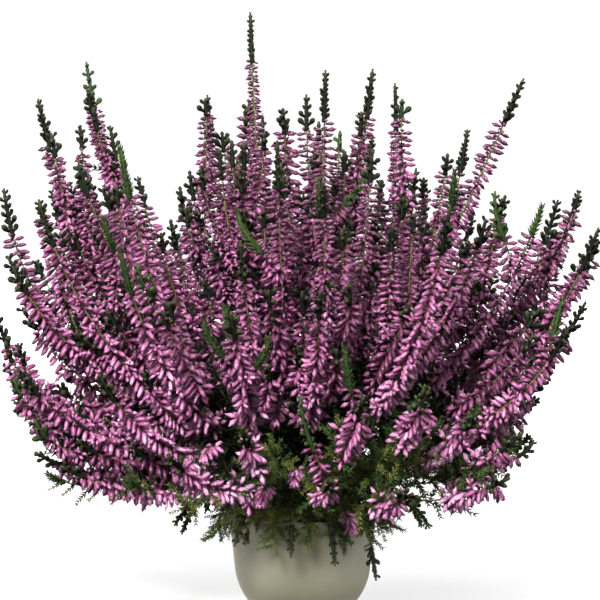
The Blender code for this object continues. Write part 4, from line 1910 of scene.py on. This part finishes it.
@dataclass
class Studio:
    """The pale floor, the soft light and the camera.

    The camera's sizes are millimetres. Lights have a place and a size in metres and a power in watts.
    """

    aim: tuple = (-1.25, 0.0, 156.0)
    distance: float = 1500.0
    elevation: float = math.radians(4.0)
    view_width: float = 300.0
    sensor: float = 36.0
    floor_size: float = 30.0
    low_light: float = 0.03
    sky_light: float = 0.13
    fade: tuple = (-0.3, 0.6)
    backdrop: float = 1.05
    panel_aim: tuple = (0.0, 0.0, 0.15)
    panels: tuple = (
        ("key", (-0.5, -1.8, 1.3), 0.55, 118.0),
        ("front", (0.5, -2.1, 0.3), 1.0, 9.0),
        ("top", (0.1, 0.3, 2.1), 1.0, 16.0),
        ("back", (0.5, 1.9, 1.3), 0.8, 72.0),
    )
    wing: tuple = ((1.9, 0.5, 1.0), 0.8, 22.0)
    pot_aim: tuple = (0.0, 0.0, 0.018)
    side_snoot: tuple = ((1.2, -0.2, 0.03), 62.0)
    front_snoot: tuple = ((0.75, -1.1, 0.03), 5.0)
    snoot_cone: float = math.radians(5.0)

    def build(self) -> None:
        """Sets up the floor, the lights, the background and the camera."""
        self.add_floor()
        self.add_world()
        for panel in self.panels:
            self.add_panel(*panel)
        for name, side in (("left", -1.0), ("right", 1.0)):
            mirror = Vector((side, 1.0, 1.0))
            place, size, power = self.wing
            self.add_panel(name, mirror * Vector(place), size, power)
            for kind, (place, power) in (("side", self.side_snoot), ("front", self.front_snoot)):
                self.add_snoot(f"{name} {kind} snoot", mirror * Vector(place), power)
        self.add_camera()
        view = bpy.context.scene.view_settings
        view.view_transform = "Standard"
        view.look = "None"

    def add_floor(self) -> None:
        """Adds the floor."""
        clear_selection()
        bpy.ops.mesh.primitive_plane_add(size=self.floor_size, location=(0.0, 0.0, 0.0))
        floor = bpy.context.object
        floor.name = "floor"
        floor.data.materials.append(FloorFinish().make())
        floor.visible_diffuse = False
        floor.visible_glossy = False

    def add_world(self) -> None:
        """Adds a white background whose soft light comes from above and fades out below."""
        world = bpy.data.worlds.new("studio")
        bpy.context.scene.world = world
        book = NodeBook(world)
        parts = book.add("ShaderNodeSeparateXYZ")
        book.feed(parts.inputs["Vector"], book.add("ShaderNodeTexCoord").outputs["Generated"])
        soft = book.spread(parts.outputs["Z"], self.fade, (self.low_light, self.sky_light))
        pick = book.add("ShaderNodeMix", B=self.backdrop)
        book.feed(pick.inputs["Factor"], book.add("ShaderNodeLightPath").outputs["Is Camera Ray"])
        book.feed(pick.inputs["A"], soft)
        back = book.tree.nodes["Background"].inputs
        back["Color"].default_value = WHITE
        book.feed(back["Strength"], pick.outputs["Result"])

    def add_panel(self, name: str, place: Vector, size: float, power: float) -> None:
        """Adds a square soft light that faces the plant.

        Args:
            name: The light's name.
            place: Where it hangs.
            size: Its side.
            power: Its power.
        """
        light = bpy.data.lights.new(name, "AREA")
        light.size = size
        light.energy = power
        self.hang(light, place, self.panel_aim)

    def add_snoot(self, name: str, place: Vector, power: float) -> None:
        """Adds a narrow light that falls on one side of the pot alone.

        Args:
            name: The light's name.
            place: Where it stands.
            power: Its power.
        """
        light = bpy.data.lights.new(name, "SPOT")
        light.energy = power
        light.shadow_soft_size = 0.03
        light.spot_size = self.snoot_cone
        light.spot_blend = 0.6
        self.hang(light, place, self.pot_aim)

    def hang(self, light: bpy.types.Light, place: Vector, aim: tuple) -> None:
        """Hangs a light where it faces a point.

        Args:
            light: The light.
            place: Where it hangs.
            aim: The point that it faces.
        """
        lamp = bpy.data.objects.new(light.name, light)
        lamp.location = place
        lamp.rotation_euler = (Vector(aim) - Vector(place)).to_track_quat("-Z", "Y").to_euler()
        bpy.context.scene.collection.objects.link(lamp)

    def add_camera(self) -> None:
        """Adds the camera at the photograph's place."""
        camera = bpy.data.objects.new("camera", bpy.data.cameras.new("camera"))
        camera.data.sensor_width = self.sensor
        camera.data.lens = self.sensor * self.distance / self.view_width
        camera.data.clip_end = 100.0
        back = Vector((0.0, -math.cos(self.elevation), math.sin(self.elevation)))
        camera.location = (Vector(self.aim) + back * self.distance) * MM
        camera.rotation_euler = (-back).to_track_quat("-Z", "Y").to_euler()
        bpy.context.scene.collection.objects.link(camera)
        bpy.context.scene.camera = camera


def main() -> None:
    """Builds every piece, then the studio."""
    logging.basicConfig(level=logging.INFO, format="%(message)s")
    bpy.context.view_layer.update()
    finishes = {Part.BARK: BarkFinish().make(), Part.LEAF: LeafFinish().make(), Part.BUD: BudFinish().make()}
    pot = Pot()
    pieces = [pot.build(PotFinish().make()), Peat(pot).build(PeatFinish().make())]
    pieces += Plant(Habit(), Grower(SmallShapes().model()), finishes).build()
    triangles = sum(sum(len(polygon.vertices) - 2 for polygon in piece.data.polygons) for piece in pieces)
    LOG.info("whole model: %d pieces, %d triangles", len(pieces), triangles)
    Studio().build()
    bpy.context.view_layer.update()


if __name__ == "__main__":
    main()
